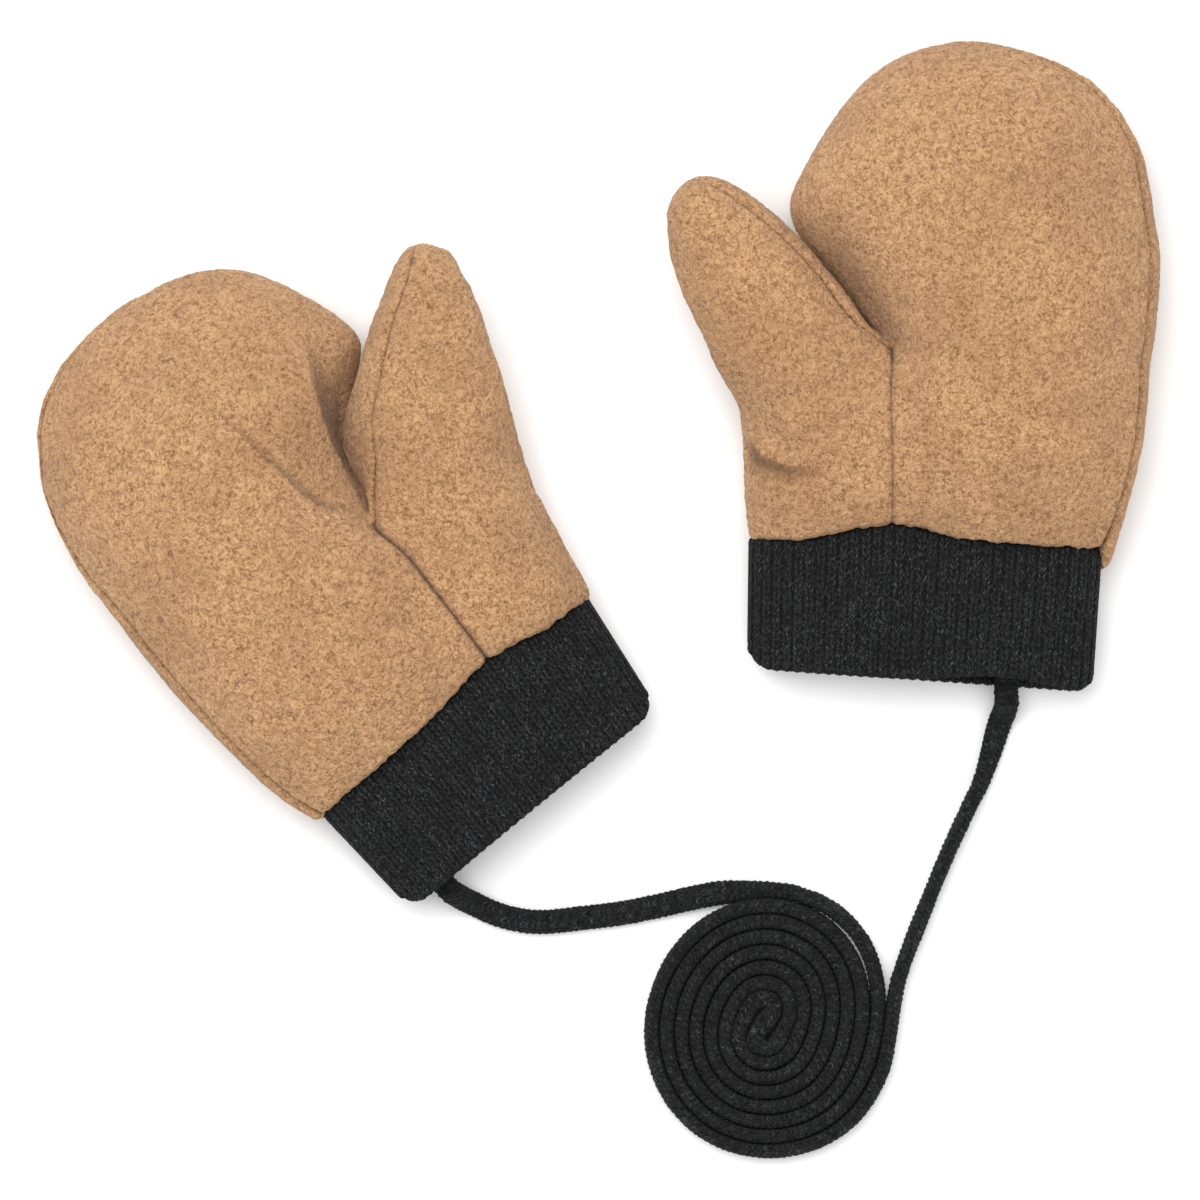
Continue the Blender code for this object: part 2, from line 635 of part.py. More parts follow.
def build_cuff(mitten, edge_points):
    # The ribbed cuff: raised ribs over a plain inside, its upper edge following the fleece.
    cuff = mitten["cuff"]
    count = 2 * RIB_COUNT
    top_ring = oval(*cuff["top"], CUFF_TOP_HEIGHT)
    mouth_ring = oval(*cuff["mouth"], CUFF_MOUTH_HEIGHT)
    outer_rows = []
    inner_rows = []
    centre, half, lift = cuff["mouth_lift"]
    for part in CUFF_ROWS:
        ring = top_ring + (mouth_ring - top_ring) * part
        out = outward(ring)
        outer, inner = [], []
        for index in range(count):
            across, up = ring[index]
            front = up > (top_ring[:, 1].max() / 2.0)
            start = fleece_edge(edge_points, top_ring[index]) - SEAM_GAP
            end = cuff["mouth_v"]
            if front:
                end += lift * math.exp(-((across - centre) / half) ** 2)
            end += corner_lift(across, cuff["mouth"][1], cuff["corner"][0])
            end += corner_lift(across, cuff["mouth"][0], cuff["corner"][1])
            along = start + (end - start) * part
            free = min(1.0, up / 2.0)
            rise = RIB_RISE / 2.0 * (1.0 if index % 2 == 0 else -1.0) * free
            tuck = CUFF_LIP if part == 1.0 else 0.0
            skin = ring[index] + out[index] * (rise - tuck)
            outer.append((skin[0], along, max(skin[1], 0.0)))
            if index % 2 == 0:
                bare = ring[index] - out[index] * (KNIT_WALL - tuck)
                inner.append((bare[0], along, bare[1]))
        outer_rows.append(outer)
        inner_rows.append(inner)
    points = [point for row in outer_rows for point in row]
    inner_start = len(points)
    points += [point for row in inner_rows for point in row]
    solid = []
    last = len(CUFF_ROWS) - 1
    for row in range(last):
        for index in range(count):
            beside = (index + 1) % count
            solid.append((row * count + index, row * count + beside,
                          (row + 1) * count + beside, (row + 1) * count + index))
        for index in range(RIB_COUNT):
            beside = (index + 1) % RIB_COUNT
            base = inner_start + row * RIB_COUNT
            solid.append((base + index, base + RIB_COUNT + index,
                          base + RIB_COUNT + beside, base + beside))
    for row in (0, last):
        for index in range(RIB_COUNT):
            near, far = 2 * index, (2 * index + 2) % count
            base = inner_start + row * RIB_COUNT
            rim = (row * count + near, row * count + near + 1, row * count + far,
                   base + (index + 1) % RIB_COUNT, base + index)
            solid.append(rim if row == last else tuple(reversed(rim)))
    make_object(mitten["name"] + "_cuff", place(mitten, np.array(points)), solid, "cuff")


def smooth_route(points, spacing):
    # Evenly spaced points on a smooth curve through the route's points.
    points = np.array(points, dtype=float)
    chain = np.vstack((2.0 * points[0] - points[1], points, 2.0 * points[-1] - points[-2]))
    dense = [points[0]]
    for index in range(1, len(chain) - 2):
        for step in range(1, 25):
            dense.append(between(chain[index - 1], chain[index], chain[index + 1],
                                 chain[index + 2], step / 24.0))
    dense = np.array(dense)
    length = np.concatenate(([0.0], np.cumsum(np.linalg.norm(np.diff(dense, axis=0), axis=1))))
    stops = np.linspace(0.0, length[-1], int(round(length[-1] / spacing)) + 1)
    return np.column_stack([np.interp(stops, length, dense[:, axis]) for axis in range(3)])


def build_cord(mitten, plan, end):
    # One free stretch: out of the cuff's mouth, down to the surface and along it to the coil.
    radius = CORD_TUBE_DIAMETER / 2.0
    floor = radius + 0.1
    mouth = mitten["cuff"]["mouth_v"]
    across, inside = mitten["cord_exit"]
    start = place(mitten, [(across, mouth + CORD_INSIDE_CUFF, inside),
                           (across, mouth - 0.6, inside)])
    heights = [inside - 1.0] + [floor] * len(plan)
    free = [(x, y, height) for (x, y), height in zip(plan + (end,), heights)]
    route = np.vstack((start, np.array(free) + (*MIDDLE_SHIFT, 0.0)))
    line = smooth_route(route, 2.3 * CORD_TUBE_DIAMETER)
    line[:, 2] = np.maximum(line[:, 2], floor)
    curve = bpy.data.curves.new(mitten["name"] + "_cord", "CURVE")
    curve.dimensions = "3D"
    curve.bevel_depth = radius * MM
    curve.bevel_resolution = 2
    curve.use_fill_caps = True
    spline = curve.splines.new("POLY")
    spline.points.add(len(line) - 1)
    for point, position in zip(spline.points, line):
        point.co = (*(position * MM), 1.0)
    curve.materials.append(make_material(mitten["name"] + "_cord", "cord"))
    built = bpy.data.objects.new(mitten["name"] + "_cord", curve)
    bpy.context.scene.collection.objects.link(built)


def coil_radius(turned):
    # Outer radius of the wound cord, turned clockwise in degrees from +X.
    half = CORD_THICKNESS / 2.0
    if turned < 270.0:
        return COIL_FIRST_RADIUS + half - 2.0 * COIL_SPACING * turned / 360.0
    part = ((turned - 270.0) / 90.0) ** COIL_TAPER_POWER
    return COIL_TOP_RADIUS + half + (COIL_SECOND_RADIUS - COIL_TOP_RADIUS) * part


def build_coil():
    # The wound part of the cord as one flat disc that follows the outermost turns.
    stops = [360.0 * step / COIL_STEPS for step in range(COIL_STEPS)]
    stops = [stop for stop in stops if stop not in (0.0, 270.0)]
    stops += [0.0, 269.99, 270.0, 359.99]
    stops.sort()
    centre = (COIL_CENTRE[0] + MIDDLE_SHIFT[0], COIL_CENTRE[1] + MIDDLE_SHIFT[1])
    levels = ((0.0, 0.0), (0.0, CORD_WIDTH - COIL_EDGE_ROUND),
              (COIL_EDGE_ROUND, CORD_WIDTH))
    points = []
    for inset, height in levels:
        for stop in stops:
            radius = coil_radius(stop) - inset
            angle = math.radians(-stop)
            points.append((centre[0] + radius * math.cos(angle),
                           centre[1] + radius * math.sin(angle), height))
    count = len(stops)
    solid = []
    for level in range(len(levels) - 1):
        for index in range(count):
            beside = (index + 1) % count
            solid.append((level * count + index, level * count + beside,
                          (level + 1) * count + beside, (level + 1) * count + index))
    centre_low, centre_high = len(points), len(points) + 1
    points += [(*centre, 0.0), (*centre, CORD_WIDTH)]
    last = (len(levels) - 1) * count
    for index in range(count):
        beside = (index + 1) % count
        solid.append((beside, index, centre_low))
        solid.append((last + index, last + beside, centre_high))
    make_object("cord_coil", np.array(points), solid, "cord")


def build():
    for old in list(bpy.data.objects):
        bpy.data.objects.remove(old, do_unlink=True)
    for mitten in (LEFT_HAND, RIGHT_HAND):
        points, faces, edge = mitten_surface(mitten)
        normals = surface_normals(points, faces)
        for panel in ("palm", "thumb", "back"):
            build_panel(mitten, panel, points, normals, faces)
        build_cuff(mitten, points[edge])
    gap = SEAM_GAP + 0.1
    beside_coil = coil_radius(359.99) + SEAM_GAP + CORD_TUBE_DIAMETER / 2.0
    build_cord(LEFT_HAND, LEFT_HAND_CORD,
               (COIL_CENTRE[0] + beside_coil, COIL_CENTRE[1] + gap))
    build_cord(RIGHT_HAND, RIGHT_HAND_CORD,
               (COIL_CENTRE[0] - gap, COIL_CENTRE[1] + COIL_TOP_RADIUS))
    build_coil()


build()
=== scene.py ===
import math
import bmesh
import bpy
import numpy as np
from mathutils import Matrix, Vector, noise
from mathutils.kdtree import KDTree


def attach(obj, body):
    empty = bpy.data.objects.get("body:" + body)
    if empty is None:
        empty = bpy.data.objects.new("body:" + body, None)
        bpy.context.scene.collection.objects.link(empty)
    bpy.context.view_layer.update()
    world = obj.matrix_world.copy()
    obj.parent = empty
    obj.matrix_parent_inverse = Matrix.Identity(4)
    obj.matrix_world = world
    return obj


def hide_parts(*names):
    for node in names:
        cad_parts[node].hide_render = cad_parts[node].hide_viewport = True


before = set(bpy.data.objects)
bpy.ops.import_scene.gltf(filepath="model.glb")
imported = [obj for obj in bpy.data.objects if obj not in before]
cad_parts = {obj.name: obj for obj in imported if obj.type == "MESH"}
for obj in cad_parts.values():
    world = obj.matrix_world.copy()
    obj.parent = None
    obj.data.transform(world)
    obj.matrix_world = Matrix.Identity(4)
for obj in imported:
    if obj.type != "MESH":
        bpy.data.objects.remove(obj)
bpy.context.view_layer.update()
mm = 0.001
middleShift = np.array((0.05, -0.5))  # as in the CAD: the origin is under the middle of the two mittens


# Small helpers

def linkObject(name, data):
    built = bpy.data.objects.new(name, data)
    bpy.context.scene.collection.objects.link(built)
    return built


def makeMesh(name, points, faces, material=None):
    # points in millimetres
    mesh = bpy.data.meshes.new(name)
    mesh.from_pydata((np.asarray(points) * mm).tolist(), [], faces)
    mesh.shade_smooth()
    if material:
        mesh.materials.append(material)
    return mesh


def addValues(mesh, name, values):
    # One number or one vector for each point of a mesh.
    values = np.asarray(values, dtype=np.float32)
    kind, field = ("FLOAT_VECTOR", "vector") if values.ndim > 1 else ("FLOAT", "value")
    mesh.attributes.new(name, kind, "POINT").data.foreach_set(field, values.ravel())


def readValues(items, field, width, kind=np.float32):
    values = np.empty(len(items) * width, dtype=kind)
    items.foreach_get(field, values)
    return values.reshape(-1, width) if width > 1 else values


def applyModifiers(built):
    # Puts what the modifiers make into the object's own plain mesh.
    bpy.context.view_layer.update()
    graph = bpy.context.evaluated_depsgraph_get()
    mesh = bpy.data.meshes.new_from_object(built.evaluated_get(graph))
    built.modifiers.clear()
    built.data = mesh
    return mesh


def smoothNoise(points, size, seed=0.0):
    # A smooth random value from -1 to 1 for each point; size in millimetres.
    return np.array([noise.noise(Vector(point)) for point in (points / size + seed).tolist()])


def bell(values, width):
    # One at zero, falling away smoothly on both sides.
    return np.exp(-(values / width) ** 2)


def unit(rows):
    return rows / np.linalg.norm(rows, axis=1)[:, None]


def between(before, first, second, after, part):
    # A point on the smooth curve from first to second.
    return 0.5 * (2.0 * first + (second - before) * part
                  + (2.0 * before - 5.0 * first + 4.0 * second - after) * part ** 2
                  + (3.0 * first - before - 3.0 * second + after) * part ** 3)


def refine(stations, steps):
    # Adds points between the given ones. The first and last only guide the curve.
    fine = [between(*stations[index:index + 4], step / steps)
            for index in range(len(stations) - 3) for step in range(steps)]
    return fine + [stations[-2]]


def evenly(line, count, closed=False):
    # Evenly spaced points along a line of points, and how far along it each one lies.
    length = np.concatenate(([0.0], np.cumsum(np.linalg.norm(np.diff(line, axis=0), axis=1))))
    stops = np.linspace(0.0, length[-1], count, endpoint=not closed)
    return np.column_stack([np.interp(stops, length, values) for values in line.T]), stops


def flatOval(width, height, squareness, steps):
    # The outline of a rounded flat section, from its right end over the top.
    angles = np.linspace(0.0, 2.0 * math.pi, steps)
    return [size / 2.0 * np.sign(turned) * np.abs(turned) ** (2.0 / squareness)
            for size, turned in ((width, np.cos(angles)), (height, np.sin(angles)))]


def ringFaces(rings, count, closed=False):
    # Faces that join rings of points, one row after another.
    faces = []
    for ring in range(rings if closed else rings - 1):
        here, there = ring * count, (ring + 1) % rings * count
        faces += [(here + spot, here + (spot + 1) % count, there + (spot + 1) % count, there + spot)
                  for spot in range(count)]
    return faces


def newGroup(name, kind, inputs, outputs):
    tree = bpy.data.node_groups.new(name, kind)
    for title, socket, value in inputs:
        made = tree.interface.new_socket(title, in_out="INPUT", socket_type="NodeSocket" + socket)
        if value is not None:
            made.default_value = value
    for title, socket in outputs:
        tree.interface.new_socket(title, in_out="OUTPUT", socket_type="NodeSocket" + socket)
    return tree, tree.nodes.new("NodeGroupInput").outputs, tree.nodes.new("NodeGroupOutput").inputs


def feed(tree, socket, value):
    # Wires a socket to another one, or sets its value.
    if isinstance(value, bpy.types.NodeSocket):
        tree.links.new(value, socket)
    else:
        socket.default_value = value


def addNode(tree, kind, settings=None, **values):
    # A node with its inputs fed by their names, or by place where the key is i and a number.
    node = tree.nodes.new(kind)
    for key, value in (settings or {}).items():
        setattr(node, key, value)
    for key, value in values.items():
        feed(tree, node.inputs[int(key[1:]) if key[1:].isdigit() else key.replace("_", " ")], value)
    return node


def maths(tree, operation, first, second=0.0, third=0.0):
    return addNode(tree, "ShaderNodeMath", {"operation": operation}, i0=first, i1=second, i2=third).outputs[0]


# Camera: straight down on the mittens, as in the photograph

camera = {"middle": (0.155, -27.07), "height": 1563.0, "seenWidth": 252.0, "seenAt": 13.0, "sensor": 36.0}
lens = bpy.data.cameras.new("viewer")
lens.sensor_width = camera["sensor"]
lens.lens = camera["sensor"] * (camera["height"] - camera["seenAt"]) / camera["seenWidth"]
lens.clip_end = 20.0
viewer = linkObject("viewer", lens)
viewer.location = (camera["middle"][0] * mm, camera["middle"][1] * mm, camera["height"] * mm)
bpy.context.scene.camera = viewer
bpy.context.scene.view_settings.view_transform = "Standard"
print("camera ready")


# Floor and lights

studio = {"floorSize": 3000.0, "floorColour": (0.93, 0.93, 0.93, 1.0), "floorRoughness": 0.9,
          "skyColour": (1.0, 1.0, 1.0, 1.0), "skyStrength": 0.68, "lightsFace": (0.0, -30.0, 0.0),
          # each light's name, power, size and place
          "lights": (("keyLight", 10.5, 1000.0, (-220.0, 330.0, 1000.0)),
                     ("fillLight", 4.0, 1300.0, (500.0, -500.0, 1000.0)))}

for name, power, size, spot in studio["lights"]:
    light = bpy.data.lights.new(name, "AREA")
    light.energy = power
    light.shape = "DISK"
    light.size = size * mm
    lamp = linkObject(name, light)
    lamp.location = Vector(spot) * mm
    towards = Vector(studio["lightsFace"]) * mm - lamp.location
    lamp.rotation_euler = towards.to_track_quat("-Z", "Y").to_euler()
sky = bpy.data.worlds.new("sky")
bpy.context.scene.world = sky
sky.use_nodes = True
sky.node_tree.nodes["Background"].inputs["Color"].default_value = studio["skyColour"]
sky.node_tree.nodes["Background"].inputs["Strength"].default_value = studio["skyStrength"]


def startMaterial(name):
    material = bpy.data.materials.new(name)
    material.use_nodes = True
    return material, material.node_tree, material.node_tree.nodes["Principled BSDF"]


floorMaterial, _tree, paper = startMaterial("palePaper")
paper.inputs["Base Color"].default_value = studio["floorColour"]
paper.inputs["Roughness"].default_value = studio["floorRoughness"]
half = studio["floorSize"] / 2.0
floorCorners = [(-half, -half, 0.0), (half, -half, 0.0), (half, half, 0.0), (-half, half, 0.0)]
linkObject("floor", makeMesh("floor", floorCorners, [(0, 1, 2, 3)], floorMaterial))
print("floor and lights ready")


# Shared shader groups

def softStep(tree, value, low, high, atLow=0.0, atHigh=1.0):
    return addNode(tree, "ShaderNodeMapRange", {"interpolation_type": "SMOOTHSTEP"}, Value=value,
                   From_Min=low, From_Max=high, To_Min=atLow, To_Max=atHigh).outputs[0]


def buildFibreGroup():
    # Fine fibres and soft patches, used by the fleece and by the knit.
    tree, start, end = newGroup("fibres", "ShaderNodeTree", [
        ("Place", "Vector", None), ("Pick", "Float", 0.0), ("Patch Size", "Float", 14.0),
        ("Clump Size", "Float", 1.5), ("Fibre Size", "Float", 0.5)],
        [("Patches", "Float"), ("Clumps", "Float"), ("Fibres", "Float")])
    spot = addNode(tree, "ShaderNodeTexCoord").outputs["Object"]
    wide = addNode(tree, "ShaderNodeTexNoise", Vector=spot, Detail=2.0, Roughness=0.55,
                   Scale=maths(tree, "DIVIDE", 1000.0, start["Patch Size"]))
    feed(tree, end["Patches"], wide.outputs[0])
    for title, size, roughness, distortion in (("Clumps", "Clump Size", 0.6, 1.0),
                                               ("Fibres", "Fibre Size", 0.65, 0.6)):
        fine = addNode(tree, "ShaderNodeTexNoise", {"noise_dimensions": "4D"}, Vector=start["Place"],
                       W=start["Pick"], Detail=3.0, Roughness=roughness, Distortion=distortion,
                       Scale=maths(tree, "DIVIDE", 1000.0, start[size]))
        feed(tree, end[title], fine.outputs[0])
    return tree


def buildHollowGroup():
    # Turns a relief value on the mesh into a mask of painted light on its crests and painted shade in its
    # hollows.
    tree, start, end = newGroup("hollows", "ShaderNodeTree", [
        ("Relief", "Float", 0.5), ("Low", "Float", 0.2), ("High", "Float", 0.8), ("Noise", "Float", 0.5),
        ("Noise Amount", "Float", 0.3)], [("Mask", "Float")])
    spread = maths(tree, "MULTIPLY_ADD", maths(tree, "SUBTRACT", start["Noise"], 0.5), start["Noise Amount"],
                   start["Relief"])
    feed(tree, end["Mask"], softStep(tree, spread, start["Low"], start["High"]))
    return tree


fibreGroup = buildFibreGroup()
hollowGroup = buildHollowGroup()


def placeGroup(tree, group, **values):
    return addNode(tree, "ShaderNodeGroup", {"node_tree": group}, **values).outputs


def readAttribute(tree, name, output="Fac"):
    return addNode(tree, "ShaderNodeAttribute", {"attribute_name": name}).outputs[output]


def blendColours(tree, factor, first, second, kind="MIX"):
    return addNode(tree, "ShaderNodeMix", {"data_type": "RGBA", "blend_type": kind}, i0=factor, i6=first,
                   i7=second).outputs[2]


def finishShader(tree, shader, look, colour, height):
    # Wires colour and relief, and sets on the shader what is the same all over.
    bump = addNode(tree, "ShaderNodeBump", Strength=look["bump"], Distance=look["bumpDepth"] * mm,
                   Height=height)
    feed(tree, shader.inputs["Base Color"], colour)
    feed(tree, shader.inputs["Normal"], bump.outputs[0])
    for title, key in (("Roughness", "roughness"), ("Specular IOR Level", "specular"),
                       ("Sheen Weight", "sheen"), ("Sheen Roughness", "sheenRoughness"),
                       ("Sheen Tint", "sheenTint")):
        shader.inputs[title].default_value = look[key]


# Fleece finish

# tips is painted light on the nap's raised clumps and creases painted shade in the gaps between them; shadow
# is multiplied in for random broad tone and for painted shade along seams and folds
fleeceLook = {"tips": (0.668, 0.388, 0.196, 1.0), "between": (0.315, 0.160, 0.069, 1.0),
              "creases": (0.165, 0.074, 0.031, 1.0), "shadow": (0.27, 0.19, 0.15, 1.0),
              "patchSize": 17.0, "brushed": (0.36, 0.64, 0.05, 0.0), "toned": (0.36, 0.62, 0.26, 0.0),
              "clumpSize": 1.15, "fibreSize": 0.50, "fibreShare": 0.75, "napShare": 0.10,
              "tipRange": (0.69, 1.18), "tipNoise": 0.25, "gapRange": (0.16, 0.34), "gapShade": 0.6,
              "bump": 1.0, "bumpDepth": 0.85, "roughness": 0.95,
              "specular": 0.2, "sheen": 0.22, "sheenRoughness": 0.45, "sheenTint": (1.0, 0.86, 0.72, 1.0)}


def buildFleeceMaterial(look):
    material, tree, shader = startMaterial("fleece")
    pile = placeGroup(tree, fibreGroup, Place=addNode(tree, "ShaderNodeTexCoord").outputs["Object"],
                      Patch_Size=look["patchSize"], Clump_Size=look["clumpSize"],
                      Fibre_Size=look["fibreSize"])
    # brushed areas show less of the painted shade in the nap's gaps than the others
    brushed = softStep(tree, pile["Patches"], *look["brushed"])
    strands = maths(tree, "MULTIPLY_ADD", pile["Fibres"], look["fibreShare"], pile["Clumps"])
    level = maths(tree, "MULTIPLY_ADD", readAttribute(tree, "nap"), look["napShare"],
                  maths(tree, "ADD", brushed, strands))
    # the tips mask paints light on the high parts of the nap relief and its fibre noise
    low, high = look["tipRange"]
    tips = placeGroup(tree, hollowGroup, Relief=level, Low=low, High=high, Noise=pile["Fibres"],
                      Noise_Amount=look["tipNoise"])["Mask"]
    # the gaps mask paints shade in the low parts of the nap, toward the creases colour
    low, high = look["gapRange"]
    gaps = placeGroup(tree, hollowGroup, Relief=maths(tree, "SUBTRACT", 1.0, level), Low=low, High=high,
                      Noise=pile["Fibres"], Noise_Amount=0.0)["Mask"]
    colour = blendColours(tree, tips, look["between"], look["tips"])
    colour = blendColours(tree, maths(tree, "MULTIPLY", gaps, look["gapShade"]), colour, look["creases"])
    # multiplies toward the shadow colour: random broad tone from the patches, and painted shade of the seams
    # and folds from the seam values
    for shade in (softStep(tree, pile["Patches"], *look["toned"]), readAttribute(tree, "seam")):
        colour = blendColours(tree, shade, colour, look["shadow"], "MULTIPLY")
    finishShader(tree, shader, look, colour, strands)
    return material


fleeceMaterial = buildFleeceMaterial(fleeceLook)


# Knit finishes

# hollow is painted shade in the knit's recesses, crest the yarn on its raised parts
knitLook = {"crest": (0.0170, 0.0176, 0.0185, 1.0), "hollow": (0.0030, 0.0030, 0.0033, 1.0),
            "fleck": (0.125, 0.130, 0.136, 1.0), "fleckRange": (0.53, 0.72), "fleckPatches": (1.2, 0.1),
            "patchSize": 9.0, "clumpSize": 0.7, "bump": 0.9, "bumpDepth": 0.35, "roughness": 0.9,
            "specular": 0.15, "sheen": 0.03, "sheenRoughness": 0.5, "sheenTint": (1.0, 1.0, 1.0, 1.0)}


def buildKnitMaterial(name, look, fibreSize, low, high, uneven):
    material, tree, shader = startMaterial(name)
    fuzz = placeGroup(tree, fibreGroup, Place=readAttribute(tree, "strand", "Vector"),
                      Pick=readAttribute(tree, "pick"), Patch_Size=look["patchSize"],
                      Clump_Size=look["clumpSize"], Fibre_Size=fibreSize)
    crests = placeGroup(tree, hollowGroup, Relief=readAttribute(tree, "yarn"), Low=low, High=high,
                        Noise=fuzz["Clumps"], Noise_Amount=uneven)["Mask"]
    flecks = maths(tree, "MULTIPLY", softStep(tree, fuzz["Fibres"], *look["fleckRange"]),
                   maths(tree, "MULTIPLY_ADD", fuzz["Patches"], *look["fleckPatches"]))
    # painted shade in the hollows of the knit, the yarn's colour on its crests
    colour = blendColours(tree, crests, look["hollow"], look["crest"])
    colour = blendColours(tree, flecks, colour, look["fleck"])
    finishShader(tree, shader, look, colour, maths(tree, "ADD", fuzz["Clumps"], fuzz["Fibres"]))
    return material


ribMaterial = buildKnitMaterial("ribKnit", knitLook, 0.27, 0.50, 1.16, 2.0)
cordMaterial = buildKnitMaterial("knittedCord", knitLook, 0.30, 0.0, 0.88, 3.2)
print("materials ready")


# Cord: one knitted length from cuff to cuff, wound in the middle from both ends at once

cord = {"width": 5.0, "thickness": 2.8, "squareness": 2.2, "ringPoints": 40, "rings": 2300,
        "wales": 8, "coursePitch": 1.25, "relief": 0.34, "fuzz": 0.05, "floorGap": 0.05,
        "coilCentre": (34.8, -116.65), "firstRadius": 27.2, "strandSpacing": 3.15, "turnShrink": 6.15,
        "oval": 1.13, "ovalTurn": 12.0, "footSwell": 0.27, "unevenGaps": 0.10, "unevenSize": 7.0,
        "coreLength": 17.0, "coreSwell": 0.6, "coreThicker": 0.35,
        # the two halves of the cord: the degrees where each starts and ends in the winding
        "firstTurns": (16.0, 1350.0), "secondTurns": (274.0, 1530.0), "turnStep": 9.0,
        # a little more room at one place: how much, where, and over how many degrees
        "firstEase": (0.2, 0.0, 60.0), "outerGap": (0.45, 318.0, 30.0),
        # where the turns lie looser: degrees clockwise from +X, how much, over how many degrees
        "looser": ((290.0, 0.058, 75.0), (48.0, 0.040, 29.0), (185.0, 0.016, 35.0), (322.0, 0.012, 28.0)),
        # how far round it is turned, from lying flat to standing on its edge, at lengths from each end
        "flatTo": (16.0, 66.0), "standsFrom": (34.0, 92.0),
        "core": ((1.5, 4.7), (2.0, 3.3), (1.2, 1.5), (0.0, 0.0), (-1.2, -1.5), (-2.0, -3.3), (-1.5, -4.7)),
        "leftRoute": ((85.9, -48.8), (84.2, -54.0), (82.2, -60.4), (79.8, -66.8), (76.9, -73.1),
                      (74.0, -79.4), (71.3, -85.8), (68.7, -92.2), (66.2, -98.5), (64.2, -104.0),
                      (62.7, -109.4)),
        "rightRoute": ((28.0, -88.3), (21.2, -89.3), (12.8, -91.2), (4.3, -92.9), (-4.1, -93.9),
                       (-12.6, -94.7), (-19.6, -93.7), (-25.3, -91.5), (-30.0, -88.9)),
        # inside the cuff, and at its mouth
        "start": ((86.37, -38.35, 5.7), (85.84, -45.93, 5.7)),
        "finish": ((-32.44, -87.31, 6.5), (-37.25, -81.43, 6.5))}


def looseAt(turned):
    # How much looser the turns lie here: most at the top of the winding.
    return 1.0 + sum(amount * bell((turned - middle + 180.0) % 360.0 - 180.0, width)
                     for middle, amount, width in cord["looser"])


def coilSpot(turned, apart, ease):
    # A point of the winding, turned clockwise in degrees from +X.
    radius = cord["firstRadius"] - cord["turnShrink"] * turned / 360.0
    radius -= cord["oval"] * math.cos(2.0 * math.radians(turned - cord["ovalTurn"]))
    radius += apart + ease[0] * bell(turned - ease[1], ease[2])
    radius *= looseAt(turned)
    angle = math.radians(-turned)
    return np.array(cord["coilCentre"]) + (radius * math.cos(angle), radius * math.sin(angle))


def cordRoute():
    flat = [middleShift + spot for spot in cord["leftRoute"]]
    step = cord["turnStep"]
    flat += [coilSpot(turned, 0.0, cord["firstEase"]) for turned in np.arange(*cord["firstTurns"], step)]
    flat += [np.array(cord["coilCentre"]) + spot for spot in cord["core"]]
    start, end = cord["secondTurns"]
    flat += [coilSpot(turned, cord["strandSpacing"], cord["outerGap"])
             for turned in np.arange(end - step, start, -step)]
    flat += [middleShift + spot for spot in cord["rightRoute"]]
    route = np.array(list(cord["start"]) + [(x, y, 0.0) for x, y in flat] + list(cord["finish"]))
    route[2, 2] = cord["start"][0][2] - 1.0
    route[-3, 2] = cord["finish"][0][2] - 1.0
    guided = np.vstack((2.0 * route[0] - route[1], route, 2.0 * route[-1] - route[-2]))
    return evenly(np.array(refine(guided, 16)), cord["rings"])


